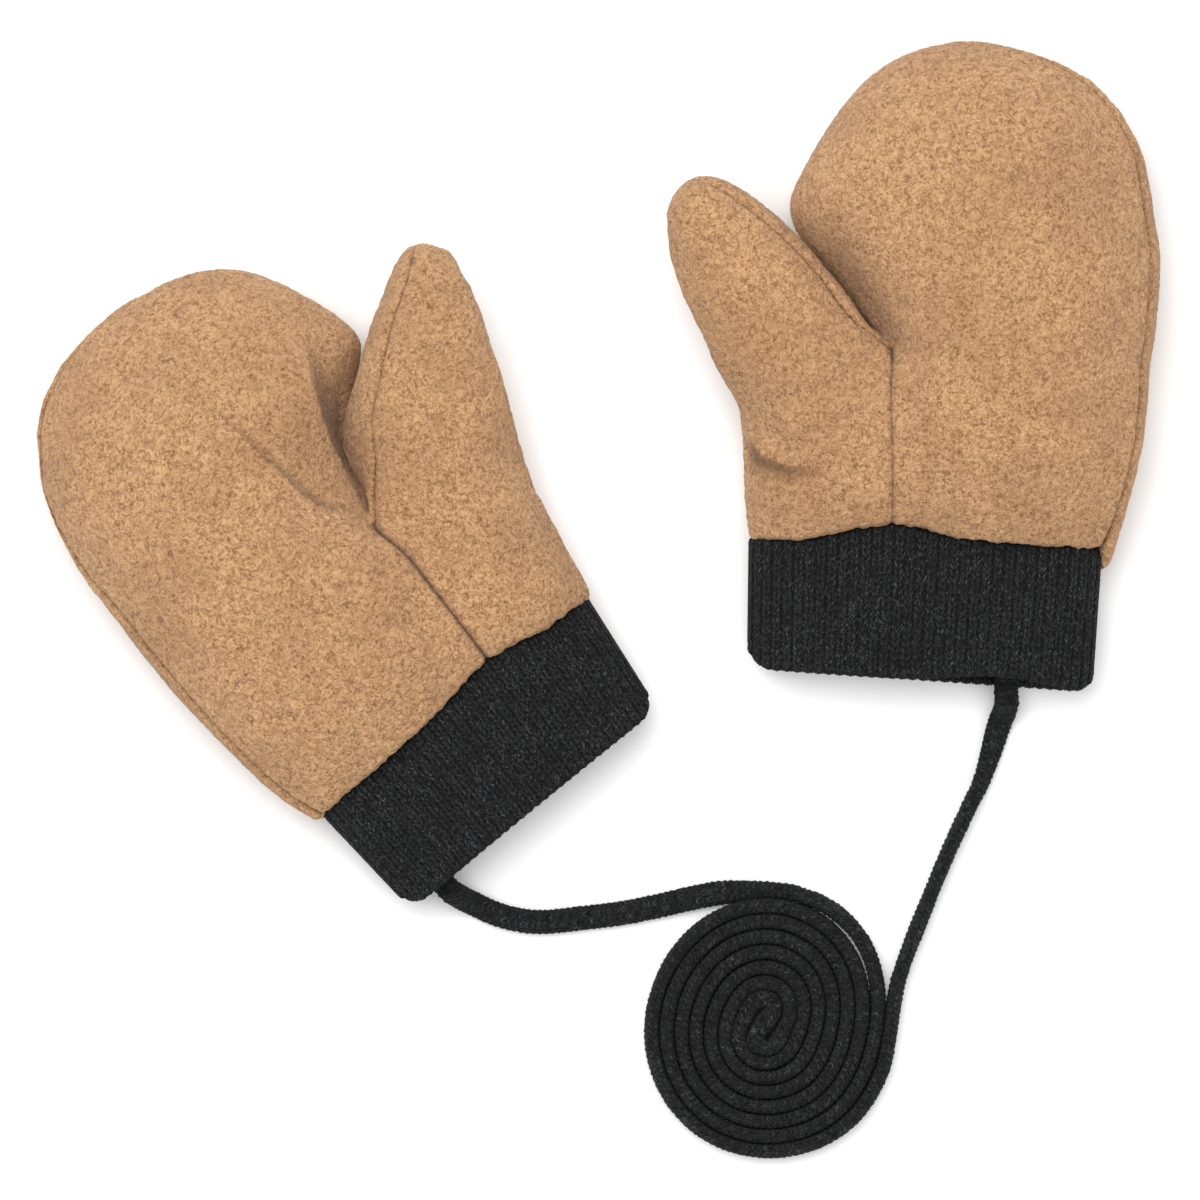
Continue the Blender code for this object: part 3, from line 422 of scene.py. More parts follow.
def buildCord():
    line, along = cordRoute()
    total = along[-1]
    bends = [0.0, cord["flatTo"][0], cord["standsFrom"][0], total - cord["standsFrom"][1],
             total - cord["flatTo"][1], total]
    turns = np.radians(np.interp(along, bends, [0.0, 0.0, 90.0, 90.0, 0.0, 0.0]))
    cosine, sine = np.cos(turns)[:, None], np.sin(turns)[:, None]
    spokes = line[:, :2] - cord["coilCentre"]
    core = bell(along - along[np.argmin(np.hypot(*spokes.T))], cord["coreLength"])
    swell = 1.0 + cord["coreThicker"] * core
    swell *= np.where(np.sin(turns) > 0.9, looseAt(-np.degrees(np.arctan2(spokes[:, 1], spokes[:, 0]))), 1.0)
    # where the yarn is drawn tighter, dark gaps open between the turns
    drawn = smoothNoise(line, cord["unevenSize"], 4.4)
    swell *= 1.0 - cord["unevenGaps"] * np.sin(turns) * np.clip(0.35 + drawn, 0.0, 1.0)
    halfHeight = np.hypot(cord["width"] / 2.0 * np.sin(turns), cord["thickness"] / 2.0 * np.cos(turns))
    line[:, 2] = np.maximum(line[:, 2], halfHeight + cord["floorGap"])
    ahead = unit(np.gradient(line, axis=0))
    side = unit(np.cross(ahead, (0.0, 0.0, 1.0)))
    top = np.cross(side, ahead)
    broad = side * cosine + top * sine
    thin = top * cosine - side * sine
    # the section's outline, and the small V-shaped stitches that stand on it
    count = cord["ringPoints"]
    outline = flatOval(cord["width"], cord["thickness"], cord["squareness"], 36 * count + 1)
    across, up = evenly(np.column_stack(outline), count, closed=True)[0].T
    wales = np.arange(count) / count * cord["wales"]
    leg = np.abs(wales % 1.0 - 0.5)
    slant = along[:, None] / cord["coursePitch"] + 1.5 * leg
    stitch = (0.35 + 0.65 * np.sin(2.0 * math.pi * leg) ** 2) * (0.5 + 0.5 * np.cos(2.0 * math.pi * slant))
    rise = cord["relief"] * (stitch - 0.3)
    rise += cord["fuzz"] * np.random.default_rng(7).standard_normal(rise.shape)
    outX, outY = unit(np.column_stack((across / (cord["width"] / 2.0) ** 2,
                                       up / (cord["thickness"] / 2.0) ** 2))).T
    ringX = across + rise * outX
    foot = (cord["footSwell"] + cord["coreSwell"] * core)[:, None] * sine * np.clip(-across - 0.2, 0.0, 1.0)
    ringY = up * swell[:, None] * (1.0 + foot) + rise * outY
    points = line[:, None] + broad[:, None] * ringX[..., None] + thin[:, None] * ringY[..., None]
    points = points.reshape(-1, 3)
    points[:, 2] = np.maximum(points[:, 2], 0.02)
    faces = ringFaces(len(line), count)
    faces += [tuple(reversed(range(count))), tuple(range(len(points) - count, len(points)))]
    mesh = makeMesh("cord", points, faces, cordMaterial)
    # the stitch relief, for painted shade in the hollows between the stitches
    addValues(mesh, "yarn", stitch.ravel())
    strand = np.broadcast_arrays(slant * cord["coursePitch"], 0.5 * leg, 3.0 * np.floor(wales))
    addValues(mesh, "strand", np.stack(strand, axis=-1) * mm)
    piece = linkObject("cord", mesh)
    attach(piece, "root")
    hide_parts("left_hand_cord", "right_hand_cord", "cord_coil")
    print("cord", round(total), "mm long")


buildCord()


# Forms of the mittens, the same values as the CAD's, in millimetres and degrees

# Columns of the mesh round one mitten
handTopSteps = 9
thumbTopSteps = 6
thumbUnderAngles = (0.0, 30.0, 60.0, 90.0, 115.0, 140.0)
bottomFlatStops = (0.0, 0.25, 0.62, 1.0)
wallTopAngle = 148.0
wallUnderAngle = 50.0
underRound = 11.0
underSeam = 4.0  # the flat underside is split this far beside the sewn line
seamBend = 3.0  # how sharply the cuff's seam peaks at the sewn line
thumbHollowPower = 1.4
rowsBetween = 2

# One row for each section across the palm below the thumb's fork. Little is the little-finger
# edge, seam the sewn line between palm and thumb panel, thumb the edge on the thumb's side.
# Each is (across, along). Rise is how far the cuff's seam peaks at the sewn line, and drop is how
# far the back panel hangs lower than the palm at the little-finger edge.
trunkColumns = ("little", "seam", "thumb", "rise", "drop")
# One row for each section of the finger part: little-finger edge, edge on the thumb's side,
# how hollow its flank is, and how far round the side seam is turned up, in degrees.
handColumns = ("little", "inner", "flank", "seamTurn")
# One row for each section of the thumb: edge beside the palm, outer edge, and how far the sewn
# line lies inside the edge beside the palm.
thumbColumns = ("inner", "outer", "seamInset")

leftHand = {
    "name": "left_hand",
    "title": "leftHand",
    "origin": (68.25, -15.33),
    "turn": -4.0,
    "thumbSide": -1.0,
    "inset": (0.45, 0.75),
    "trunk": (
        ((-38.9, 1.6), (6.9, 0.0), (36.3, -1.6), 3.6, 3.9),
        ((-41.0, 7.0), (7.3, 6.5), (37.9, 5.0), 2.0, 1.6),
        ((-43.0, 14.5), (7.8, 15.5), (38.9, 12.0), 0.8, 0.4),
        ((-44.3, 23.0), (8.3, 25.0), (39.7, 18.5), 0.0, 0.0),
        ((-44.9, 32.0), (8.8, 34.0), (40.3, 23.0), 0.0, 0.0),
        ((-45.0, 41.0), (10.5, 41.5), (41.6, 27.2), 0.0, 0.0),
    ),
    "fork": ((14.5, 44.8), (14.0, 43.6)),
    "hand": (
        ((-45.6, 49.0), (18.5, 49.3), 1.5, 21.0),
        ((-45.8, 57.0), (25.6, 57.0), 1.4, 21.0),
        ((-45.4, 65.0), (31.6, 64.3), 1.2, 21.0),
        ((-43.8, 72.0), (33.3, 71.0), 1.0, 21.0),
        ((-42.0, 80.0), (30.4, 79.0), 1.0, 21.0),
        ((-39.1, 88.0), (25.8, 88.0), 1.0, 21.0),
        ((-33.0, 96.2), (20.4, 96.2), 1.0, 21.0),
        ((-25.6, 101.7), (14.1, 101.9), 1.0, 24.0),
        ((-17.0, 105.1), (5.8, 105.6), 1.0, 30.0),
    ),
    "handTip": (-6.0, 107.3),
    "thumb": (
        ((16.4, 47.6), (46.1, 33.4), 2.4),
        ((24.6, 56.6), (50.2, 41.3), 2.2),
        ((32.2, 64.2), (54.2, 48.5), 2.6),
        ((39.2, 69.6), (57.6, 56.5), 3.0),
        ((45.0, 73.0), (59.0, 63.6), 3.0),
        ((50.0, 74.3), (58.5, 68.8), 2.4),
    ),
    "thumbTip": (54.9, 73.4),
    "creases": (((39.6, 22.0), (27.0, 15.2), 2.6, 3.4),),
    "seamTrace": ((0.0, 0.25), (10.0, 0.40), (30.0, 0.45), (38.0, 0.75), (46.0, 1.0), (52.0, 0.7),
                  (60.0, 0.35)),
    "folds": ({"line": ((41.5, 27.0), (39.4, 20.5), (36.0, 16.4), (30.6, 14.6), (23.0, 14.4)),
               "depth": 1.7, "width": 1.2, "reach": 5.0, "lift": 1.0, "shade": 0.75, "shadeWidth": 2.6},
              {"line": ((9.7, 37.8), (11.9, 42.7), (15.6, 47.6), (19.3, 52.2), (22.5, 56.6), (28.4, 62.8)),
               "depth": 0.7, "width": 0.9, "reach": 4.0, "lift": 0.3, "shade": 0.50, "shadeWidth": 4.2}),
    "cuff": {
        "top": (-37.4, 36.7),
        "mouth": (-37.5, 35.5),
        "mouthV": -28.2,
        "mouthLift": (-17.0, 13.0, 2.0),
        "corner": ((5.4, 4.4), (3.0, 2.6)),
        "flat": (0.160, 0.036),
    },
}

rightHand = {
    "name": "right_hand",
    "title": "rightHand",
    "origin": (-29.3, -50.6),
    "turn": 39.3,
    "thumbSide": 1.0,
    "inset": (0.50, 0.15),
    "trunk": (
        ((-37.0, 1.6), (11.7, 1.6), (37.0, 1.6), 3.1, 0.6),
        ((-39.8, 7.5), (12.0, 8.6), (38.3, 7.5), 1.8, 0.2),
        ((-41.6, 15.0), (12.3, 17.0), (39.7, 14.5), 0.7, 0.0),
        ((-42.7, 24.0), (12.5, 26.0), (41.0, 21.0), 0.0, 0.0),
        ((-43.4, 33.0), (12.3, 34.5), (42.5, 28.0), 0.0, 0.0),
        ((-43.9, 42.0), (11.4, 43.0), (45.4, 35.0), 0.0, 0.0),
    ),
    "fork": ((14.0, 46.8), (14.4, 45.2)),
    "hand": (
        ((-44.1, 50.0), (17.6, 52.0), 2.0, 21.0),
        ((-43.8, 58.0), (21.6, 60.0), 2.0, 20.0),
        ((-43.3, 66.0), (27.4, 67.2), 1.7, 17.0),
        ((-42.7, 73.0), (33.6, 73.6), 1.4, 11.0),
        ((-41.4, 81.0), (33.3, 81.0), 1.15, 6.0),
        ((-39.0, 90.0), (30.2, 90.0), 1.0, 4.0),
        ((-34.4, 98.0), (26.3, 98.0), 1.0, 8.0),
        ((-28.7, 104.6), (20.2, 104.8), 1.0, 16.0),
        ((-19.8, 109.4), (10.3, 109.4), 1.0, 28.0),
    ),
    "handTip": (-6.0, 112.0),
    "thumb": (
        ((14.6, 54.0), (49.0, 42.5), 5.5),
        ((18.4, 61.8), (52.3, 49.5), 7.0),
        ((27.2, 68.2), (55.0, 57.0), 6.0),
        ((35.3, 74.0), (57.6, 64.0), 5.3),
        ((43.6, 78.6), (59.3, 71.2), 4.6),
        ((49.8, 81.8), (59.8, 76.8), 3.2),
    ),
    "thumbTip": (55.6, 82.2),
    "creases": (((2.0, 68.0), (8.0, 50.0), 1.6, 4.0),),
    "seamTrace": ((0.0, 1.0), (44.0, 1.0), (52.0, 0.35), (58.0, 0.20), (66.0, 0.38), (84.0, 0.30)),
    "folds": ({"line": ((25.0, 81.0), (20.4, 72.2), (17.7, 65.6), (15.9, 61.1), (13.8, 52.6), (12.0, 46.5)),
               "depth": 2.1, "width": 0.9, "reach": 7.0, "lift": 0.8, "shade": 0.76, "shadeWidth": 4.8},
              {"line": ((0.5, 84.0), (2.6, 70.0), (4.1, 57.6), (6.0, 50.6), (11.2, 47.1)),
               "depth": 0.75, "width": 0.8, "reach": 2.4, "lift": 0.5, "shade": 0.42, "shadeWidth": 0.9}),
    "cuff": {
        "top": (-35.8, 36.1),
        "mouth": (-34.4, 33.5),
        "mouthV": -25.4,
        "mouthLift": (0.0, 20.0, 0.3),
        "corner": ((4.6, 4.4), (4.3, 4.3)),
        "flat": (0.156, 0.034),
    },
}

# Heights of the same sections on both mittens, from the cuff to the fork.
trunkHeightColumns = ("side", "crown", "crownAcross", "valley", "thumbCrown", "thumbAcross", "thumbSide")
trunkHeights = (
    (9.3, 20.2, -13.0, 19.6, 19.4, 22.0, 9.3),
    (10.8, 25.0, -13.0, 24.0, 23.4, 23.0, 10.5),
    (11.8, 29.6, -13.0, 27.8, 26.2, 24.0, 11.4),
    (12.3, 32.8, -13.0, 29.4, 27.4, 25.0, 12.0),
    (12.5, 34.4, -12.0, 28.0, 27.8, 26.0, 12.6),
    (12.5, 35.0, -11.0, 22.5, 28.4, 27.5, 13.4),
)
# Heights of the finger part's sections, from the fork to its tip. Inner is the flank beside the thumb.
handHeightColumns = ("side", "crown", "crownAcross", "inner", "low")
handHeights = (
    (12.5, 35.2, -10.0, 11.4, 0.0),
    (12.5, 35.2, -9.0, 11.0, 0.0),
    (12.5, 34.8, -8.0, 11.0, 0.0),
    (12.5, 34.0, -6.5, 11.6, 0.0),
    (12.5, 32.4, -6.0, 12.2, 0.0),
    (12.6, 29.6, -6.0, 12.6, 0.0),
    (12.9, 25.6, -6.0, 12.9, 1.4),
    (13.2, 21.6, -6.0, 13.2, 4.4),
    (13.4, 17.8, -6.0, 13.4, 8.6),
)
handTipHeight = 13.5
# Heights of the thumb's sections, from the fork to its tip.
thumbHeightColumns = ("low", "middle", "top")
thumbHeights = (
    (3.4, 17.0, 29.0),
    (7.0, 20.0, 30.0),
    (8.2, 20.4, 30.0),
    (8.6, 20.0, 29.4),
    (9.8, 19.4, 27.6),
    (12.2, 18.8, 24.8),
)
thumbTipHeight = 18.6
forkMiddleHeight = 13.0
forkLowHeight = 1.6


def rows(table, columns):
    # Turns a table into a list of rows whose values have names.
    return [dict(zip(columns, row)) for row in table]


def place(mitten, points):
    # Turns (across, along, up) of one mitten into world millimetres.
    points = np.asarray(points, dtype=float)
    turn = math.radians(mitten["turn"])
    across = points[:, 0] * mitten["thumbSide"]
    along = points[:, 1]
    x = mitten["origin"][0] + across * math.cos(turn) - along * math.sin(turn)
    y = mitten["origin"][1] + across * math.sin(turn) + along * math.cos(turn)
    return np.column_stack((x + middleShift[0], y + middleShift[1], points[:, 2]))


def unplace(mitten, points):
    # The other way round: world millimetres into (across, along) of one mitten.
    turn = math.radians(-mitten["turn"])
    x, y = (points[:, :2] - middleShift - mitten["origin"]).T
    across = (x * math.cos(turn) - y * math.sin(turn)) * mitten["thumbSide"]
    return np.column_stack((across, x * math.sin(turn) + y * math.cos(turn)))


def rounded(angle):
    return math.sin(math.radians(angle))


def run(angle):
    return math.cos(math.radians(angle))


def trunkRing(plan, up, bend, seamTurn):
    # One closed section below the fork: over the palm, over the thumb's root and back underneath.
    little, seam, thumb = plan["little"], plan["seam"], plan["thumb"]
    points = []

    def alongFrom(edge, across):
        # How far along the mitten the section lies here, and its share of the way to the sewn line.
        part = (across - edge[0]) / (seam[0] - edge[0])
        return edge[1] + (seam[1] - edge[1]) * part, max(part, 0.0)

    def over(edge, crownAcross, side, crown, turned):
        # One point of the arch between an edge and the sewn line.
        across = crownAcross + (edge[0] - crownAcross) * run(turned)
        if turned > 90.0:
            across = crownAcross + (seam[0] - crownAcross) * run(turned) / run(lastTurn(side, crown))
        along, part = alongFrom(edge, across)
        points.append((across, along + plan["rise"] * part ** bend, side + (crown - side) * rounded(turned)))

    def lastTurn(side, crown):
        return 180.0 - math.degrees(math.asin(min((up["valley"] - side) / (crown - side), 0.985)))

    last = lastTurn(up["side"], up["crown"])
    for step in range(handTopSteps):
        over(little, up["crownAcross"], up["side"], up["crown"],
             seamTurn + (last - seamTurn) * step / handTopSteps)
    last = lastTurn(up["thumbSide"], up["thumbCrown"])
    for step in range(thumbTopSteps):
        over(thumb, up["thumbAcross"], up["thumbSide"], up["thumbCrown"], last * (1.0 - step / thumbTopSteps))

    def alongBack(across):
        along, part = alongFrom(little, across)
        return along - plan["drop"] * max(1.0 - part, 0.0) ** 2

    for angle in (0.0, 45.0, 90.0):
        across = thumb[0] - underRound * (1.0 - run(angle))
        points.append((across, alongFrom(thumb, across)[0], up["thumbSide"] * (1.0 - rounded(angle))))
    middle = seam[0] + underSeam
    for part in (1.0 / 3.0, 2.0 / 3.0):
        across = thumb[0] - underRound + (middle - thumb[0] + underRound) * part
        points.append((across, alongFrom(thumb, across)[0], 0.0))
    for part in bottomFlatStops:
        across = middle + (little[0] + underRound - middle) * part
        points.append((across, alongBack(across), 0.0))
    for angle in (45.0, 0.0):
        across = little[0] + underRound * (1.0 - run(angle))
        points.append((across, alongBack(across), up["side"] * (1.0 - rounded(angle))))
    return np.array(points)


def handRing(plan, up):
    # One closed section of the finger part: over the top, down the flank beside the thumb, back.
    little, inner = plan["little"], plan["inner"]
    points = []

    def add(across, height):
        part = (across - little[0]) / (inner[0] - little[0])
        points.append((across, little[1] + (inner[1] - little[1]) * part, height))

    def over(angle):
        edge, side, lift = little, up["side"], rounded(angle)
        if angle >= 90.0:
            edge, side, lift = inner, up["inner"], max(lift, 0.0) ** plan["flank"]
        add(up["crownAcross"] + (edge[0] - up["crownAcross"]) * abs(run(angle)),
            side + (up["crown"] - side) * lift)

    roundUnder = min(underRound, 0.3 * (inner[0] - little[0]))
    turn = plan["seamTurn"]
    for step in range(handTopSteps):
        over(turn + (wallTopAngle - turn) * step / handTopSteps)
    for part in (0.0, 0.5, 1.0):
        over(wallTopAngle + (180.0 - wallTopAngle) * part)
    for angle in (wallUnderAngle / 2.0, wallUnderAngle, 90.0):
        add(inner[0] - roundUnder * (1.0 - run(angle)),
            up["low"] + (up["inner"] - up["low"]) * (1.0 - rounded(angle)))
    add((little[0] + inner[0]) / 2.0, up["low"])
    for angle in (90.0, 45.0, 0.0):
        add(little[0] + roundUnder * (1.0 - run(angle)),
            up["low"] + (up["side"] - up["low"]) * (1.0 - rounded(angle)))
    return np.array(points)


def thumbRing(plan, up):
    # One closed section of the thumb: from the sewn line over the top, round and back underneath.
    inner, outer = np.array(plan["inner"]), np.array(plan["outer"])
    half = (outer - inner) / 2.0
    seamAngle = 180.0 - math.degrees(math.acos(1.0 - plan["seamInset"] / float(np.linalg.norm(half))))
    angles = [seamAngle * (1.0 - step / thumbTopSteps) for step in range(thumbTopSteps)]
    angles += [-angle for angle in thumbUnderAngles] + [-160.0, 180.0, (180.0 + seamAngle) / 2.0]
    points = []
    for angle in angles:
        lift = rounded(angle)
        if lift >= 0.0:
            height = up["middle"] + (up["top"] - up["middle"]) * lift
        else:
            power = thumbHollowPower if run(angle) < 0.0 else 1.0
            height = up["middle"] - (up["middle"] - up["low"]) * (-lift) ** power
        points.append((*((inner + outer) / 2.0 + half * run(angle)), height))
    return np.array(points)


def crease(points, creases):
    # Presses soft troughs into the upper side, each along a line from one point to another.
    for start, end, depth, width in creases:
        line = np.array(end) - start
        along = np.clip((points[:, :2] - start) @ line / (line @ line), 0.0, 1.0)
        away = np.linalg.norm(points[:, :2] - start - along[:, None] * line, axis=1)
        fade = np.sin(np.pi * (0.12 + 0.76 * along))
        points[:, 2] -= depth * fade * bell(away, width) * (points[:, 2] > 16.0)


def mittenSurface(mitten):
    # The whole outer surface of one mitten: points, faces, the panel of each face, and the cuff's edge.
    trunk, hand, thumb = [
        [make(plan, up, *more) for plan, up in zip(rows(mitten[part], columns), rows(heights, heightColumns))]
        for make, part, columns, heights, heightColumns, *more in (
            (trunkRing, "trunk", trunkColumns, trunkHeights, trunkHeightColumns, seamBend,
             mitten["hand"][0][3]),
            (handRing, "hand", handColumns, handHeights, handHeightColumns),
            (thumbRing, "thumb", thumbColumns, thumbHeights, thumbHeightColumns))]
    count, top = len(trunk[0]), handTopSteps
    under = top + thumbTopSteps + len(thumbUnderAngles) - 1
    fork = np.array(mitten["fork"][0] + (forkMiddleHeight,))
    low = np.array(mitten["fork"][1] + (forkLowHeight,))
    trunk[-1][under] = low
    seam = trunk[-1][top]
    # the wall in the fork goes down from the sewn line, and its points are columns of their own
    wall = [between(2.0 * seam - fork, seam, fork, low, 0.5), fork,
            between(seam, fork, low, 2.0 * low - fork, 0.5)]
    trunkRows = (len(trunk) - 1) * rowsBetween

    def smoothLines(rings, columns, tip):
        # Smooth lines from the cuff to the tip, one for each column.
        lines = []
        for position, column in enumerate(columns):
            line = [ring[position] for ring in rings]
            far = rings[-1][(position + len(columns) // 2) % len(columns)]
            below = [ring[column] for ring in trunk] if column < count else [wall[column - count], line[0]]
            below = [2.0 * below[0] - below[1]] + below[:len(trunk) if column < count else 1]
            lines.append(refine(below + line + [np.array(tip), far], rowsBetween))
        return lines

    handOrder = [*range(top + 1), count, count + 1, count + 2, *range(under, count)]
    thumbOrder = [*range(top, under + 1), count + 2, count + 1, count]
    handTip = mitten["handTip"] + (handTipHeight,)
    thumbTip = mitten["thumbTip"] + (thumbTipHeight,)
    # each branch: its columns, its lines, and the panels before and after one of its columns
    branches = ((handOrder, smoothLines(hand, handOrder, handTip), top + 4, (0, 2)),
                (thumbOrder, smoothLines(thumb, thumbOrder, thumbTip), thumbTopSteps, (1, 0)))
    fine = np.zeros((trunkRows + 1, count, 3))
    for order, lines, _split, _panels in reversed(branches):
        for column, line in zip(order, lines):
            if column < count:
                fine[:, column] = line[:trunkRows + 1]
    points = [*fine.reshape(-1, 3), *wall]
    faces = ringFaces(trunkRows + 1, count)
    panels = ([0] * top + [1] * thumbTopSteps + [2] * (count - top - thumbTopSteps)) * trunkRows
    for order, lines, split, sides in branches:
        # joins the rows above the fork, and closes them at the tip
        size = len(order)
        lines = [line if column >= count else line[trunkRows:] for column, line in zip(order, lines)]
        previous = [trunkRows * count + column for column in order]
        for row in range(1, len(lines[0]) - 1):
            current = [len(points) + position for position in range(size)]
            points += [line[row] for line in lines]
            faces += [(previous[spot], previous[(spot + 1) % size], current[(spot + 1) % size], current[spot])
                      for spot in range(size)]
            previous = current
        faces += [(previous[spot], previous[(spot + 1) % size], len(points)) for spot in range(size)]
        points.append(lines[0][-1])
        panels += ([sides[0]] * split + [sides[1]] * (size - split)) * (len(lines[0]) - 1)
    points = np.array(points)
    crease(points, mitten["creases"])
    return points, faces, panels, points[:count]


surfaces = [(mitten, mittenSurface(mitten)) for mitten in (leftHand, rightHand)]


# Fleece panels: palm, thumb and back of each mitten, cut and sewn

fleece = {"level": 3, "wall": 2.2, "innerLevel": 1, "seamGap": 0.04, "longestEdge": 0.6,
          "seamDepth": 1.15, "seamWidth": 0.62, "seamShade": 0.36,
          "rollRise": 0.28, "rollAt": 2.2, "rollWidth": 1.5,
          "puckerRise": 0.22, "puckerSize": 4.0, "puckerReach": 6.0,
          "edgeDepth": 1.0, "edgeWidth": 0.8, "edgePucker": 0.28, "edgePuckerSize": 3.6, "edgeWobble": 0.42,
          "waveRise": 0.24, "waveSize": 17.0, "floorGap": 0.08, "farthest": 14.0,
          # where brushing packs the tip down: from here along the mitten, over this length
          "tipFrom": 84.0, "tipOver": 20.0, "shadeMost": 0.95,
          "napRise": 0.30, "napSize": 1.15, "fineRise": 0.12, "fineSize": 0.5,
          # each cut piece: width and length in metres, and its own area
          "cuts": {"palm": (0.108, 0.150, 0.0099), "thumb": (0.048, 0.088, 0.0027),
                   "back": (0.102, 0.144, 0.0087)}}


def storeValue(tree, kind, geometry, name, value):
    return addNode(tree, "GeometryNodeStoreNamedAttribute", {"data_type": kind, "domain": "POINT"},
                   Geometry=geometry, Name=name, Value=value).outputs[0]


def endTree(tree, geometry, start, end):
    # Makes what the tree built real and gives it its material.
    joined = addNode(tree, "GeometryNodeRealizeInstances", Geometry=geometry).outputs[0]
    smoothed = addNode(tree, "GeometryNodeSetShadeSmooth", Geometry=joined).outputs[0]
    shaded = addNode(tree, "GeometryNodeSetMaterial", Geometry=smoothed, Material=start["Material"])
    feed(tree, end[0], shaded.outputs[0])
    return tree


def napTree():
    # Raises the short nap: soft clumps with finer fibres on them, on the side that shows.
    tree, start, end = newGroup("napRelief", "GeometryNodeTree", [
        ("Geometry", "Geometry", None), ("Clump Size", "Float", 0.001), ("Clump Rise", "Float", 0.0003),
        ("Fibre Size", "Float", 0.0005), ("Fibre Rise", "Float", 0.0001), ("Material", "Material", None)],
        [("Geometry", "Geometry")])
    spot = addNode(tree, "GeometryNodeInputPosition").outputs[0]
    normal = addNode(tree, "GeometryNodeInputNormal").outputs[0]
    mask = addNode(tree, "GeometryNodeInputNamedAttribute", {"data_type": "FLOAT"}, Name="outside").outputs[0]
    drift = addNode(tree, "ShaderNodeTexNoise", Vector=spot, Scale=420.0, Detail=2.0)
    drifted = addNode(tree, "ShaderNodeVectorMath", {"operation": "MULTIPLY_ADD"}, i0=drift.outputs[1],
                      i1=(0.0005, 0.0005, 0.0005), i2=spot).outputs[0]
    gaps = addNode(tree, "ShaderNodeTexVoronoi", {"feature": "SMOOTH_F1"}, Vector=drifted, Smoothness=0.45,
                   Scale=maths(tree, "DIVIDE", 1.0, start["Clump Size"])).outputs[0]
    fine = addNode(tree, "ShaderNodeTexNoise", Vector=spot, Detail=2.0, Roughness=0.6,
                   Scale=maths(tree, "DIVIDE", 1.0, start["Fibre Size"])).outputs[0]
    fine = maths(tree, "SUBTRACT", fine, 0.5)
    broad = addNode(tree, "ShaderNodeTexNoise", Vector=spot, Detail=1.0,
                    Scale=maths(tree, "DIVIDE", 0.45, start["Clump Size"])).outputs[0]
    clump = maths(tree, "SUBTRACT", maths(tree, "MULTIPLY_ADD", broad, 0.7, 0.62), gaps)
    rise = maths(tree, "MULTIPLY_ADD", maths(tree, "SUBTRACT", clump, 0.35), start["Clump Rise"],
                 maths(tree, "MULTIPLY", fine, start["Fibre Rise"]))
    offset = addNode(tree, "ShaderNodeVectorMath", {"operation": "SCALE"}, i0=normal,
                     Scale=maths(tree, "MULTIPLY", rise, mask)).outputs[0]
    # the nap's height, kept as nap for painted light on its clumps and painted shade in its gaps
    shaded = maths(tree, "MULTIPLY_ADD", fine, 0.5, clump)
    stored = storeValue(tree, "FLOAT", start["Geometry"], "nap", shaded)
    moved = addNode(tree, "GeometryNodeSetPosition", Geometry=stored, Offset=offset).outputs[0]
    return endTree(tree, moved, start, end)


napRelief = napTree()


def runTree(built, tree, **values):
    # Runs a node tree on an object with its inputs set, and keeps the result as a plain mesh.
    modifier = built.modifiers.new(tree.name, "NODES")
    modifier.node_group = tree
    sockets = {item.name: item.identifier for item in tree.interface.items_tree if item.in_out == "INPUT"}
    for key, value in values.items():
        modifier[sockets[key.replace("_", " ")]] = value
    return applyModifiers(built)


def subdivided(points, faces, panels, level):
    # The smooth surface over a coarse net: its points, their normals, its faces and each face's panel.
    built = linkObject("net", makeMesh("net", points, faces))
    built.data.attributes.new("panel", "INT", "FACE").data.foreach_set("value", panels)
    modifier = built.modifiers.new("smooth", "SUBSURF")
    modifier.levels = modifier.render_levels = level
    modifier.use_limit_surface = True
    mesh = applyModifiers(built)
    found = readValues(mesh.vertices, "co", 3).astype(float) / mm
    normals = readValues(mesh.vertex_normals, "vector", 3).astype(float)
    corners = readValues(mesh.loops, "vertex_index", 1, np.int32).reshape(-1, 4)
    owner = readValues(mesh.attributes["panel"].data, "value", 1, np.int32)
    bpy.data.objects.remove(built)
    return found, normals, corners, owner


def splitLongEdges(points, faces, owner, longest):
    # Splits edges until none is longer than the given millimetres, and leaves only triangles.
    work = bmesh.new()
    panel = work.faces.layers.int.new("panel")
    spots = [work.verts.new(point) for point in points.tolist()]
    for face, value in zip(faces.tolist(), owner.tolist()):
        work.faces.new([spots[index] for index in face])[panel] = value
    for _turn in range(3):
        long = [edge for edge in work.edges if edge.calc_length() > longest]
        if long:
            bmesh.ops.subdivide_edges(work, edges=long, cuts=1, use_grid_fill=True)
    bmesh.ops.triangulate(work, faces=work.faces)
    work.normal_update()
    work.verts.index_update()
    found = np.array([vertex.co[:] for vertex in work.verts])
    normals = np.array([vertex.normal[:] for vertex in work.verts])
    corners = np.array([[vertex.index for vertex in face.verts] for face in work.faces])
    owner = np.array([face[panel] for face in work.faces])
    work.free()
    return found, normals, corners, owner


def keepSize(points, faces, panels):
    # Moves the net's points outwards so that the smooth surface passes through where they were.
    net = points.copy()
    for _turn in range(3):
        shift = points - subdivided(net, faces, panels, 1)[0][:len(points)]
        size = np.linalg.norm(shift, axis=1)[:, None]
        net += shift * np.minimum(1.0, 0.8 / np.maximum(size, 1e-6))
    return net


def pointTree(points):
    tree = KDTree(len(points))
    for index, point in enumerate(points.tolist()):
        tree.insert(point, index)
    tree.balance()
    return tree


def nearestOn(points, targets, reach):
    # Distance to the nearest target and that target's place, up to a reach.
    tree = pointTree(targets)
    away = np.full(len(points), reach)
    near = np.zeros((len(points), 3))
    for index, point in enumerate(points.tolist()):
        spot, _found, distance = tree.find(point)
        if distance < reach:
            away[index] = distance
            near[index] = spot
    return away, near


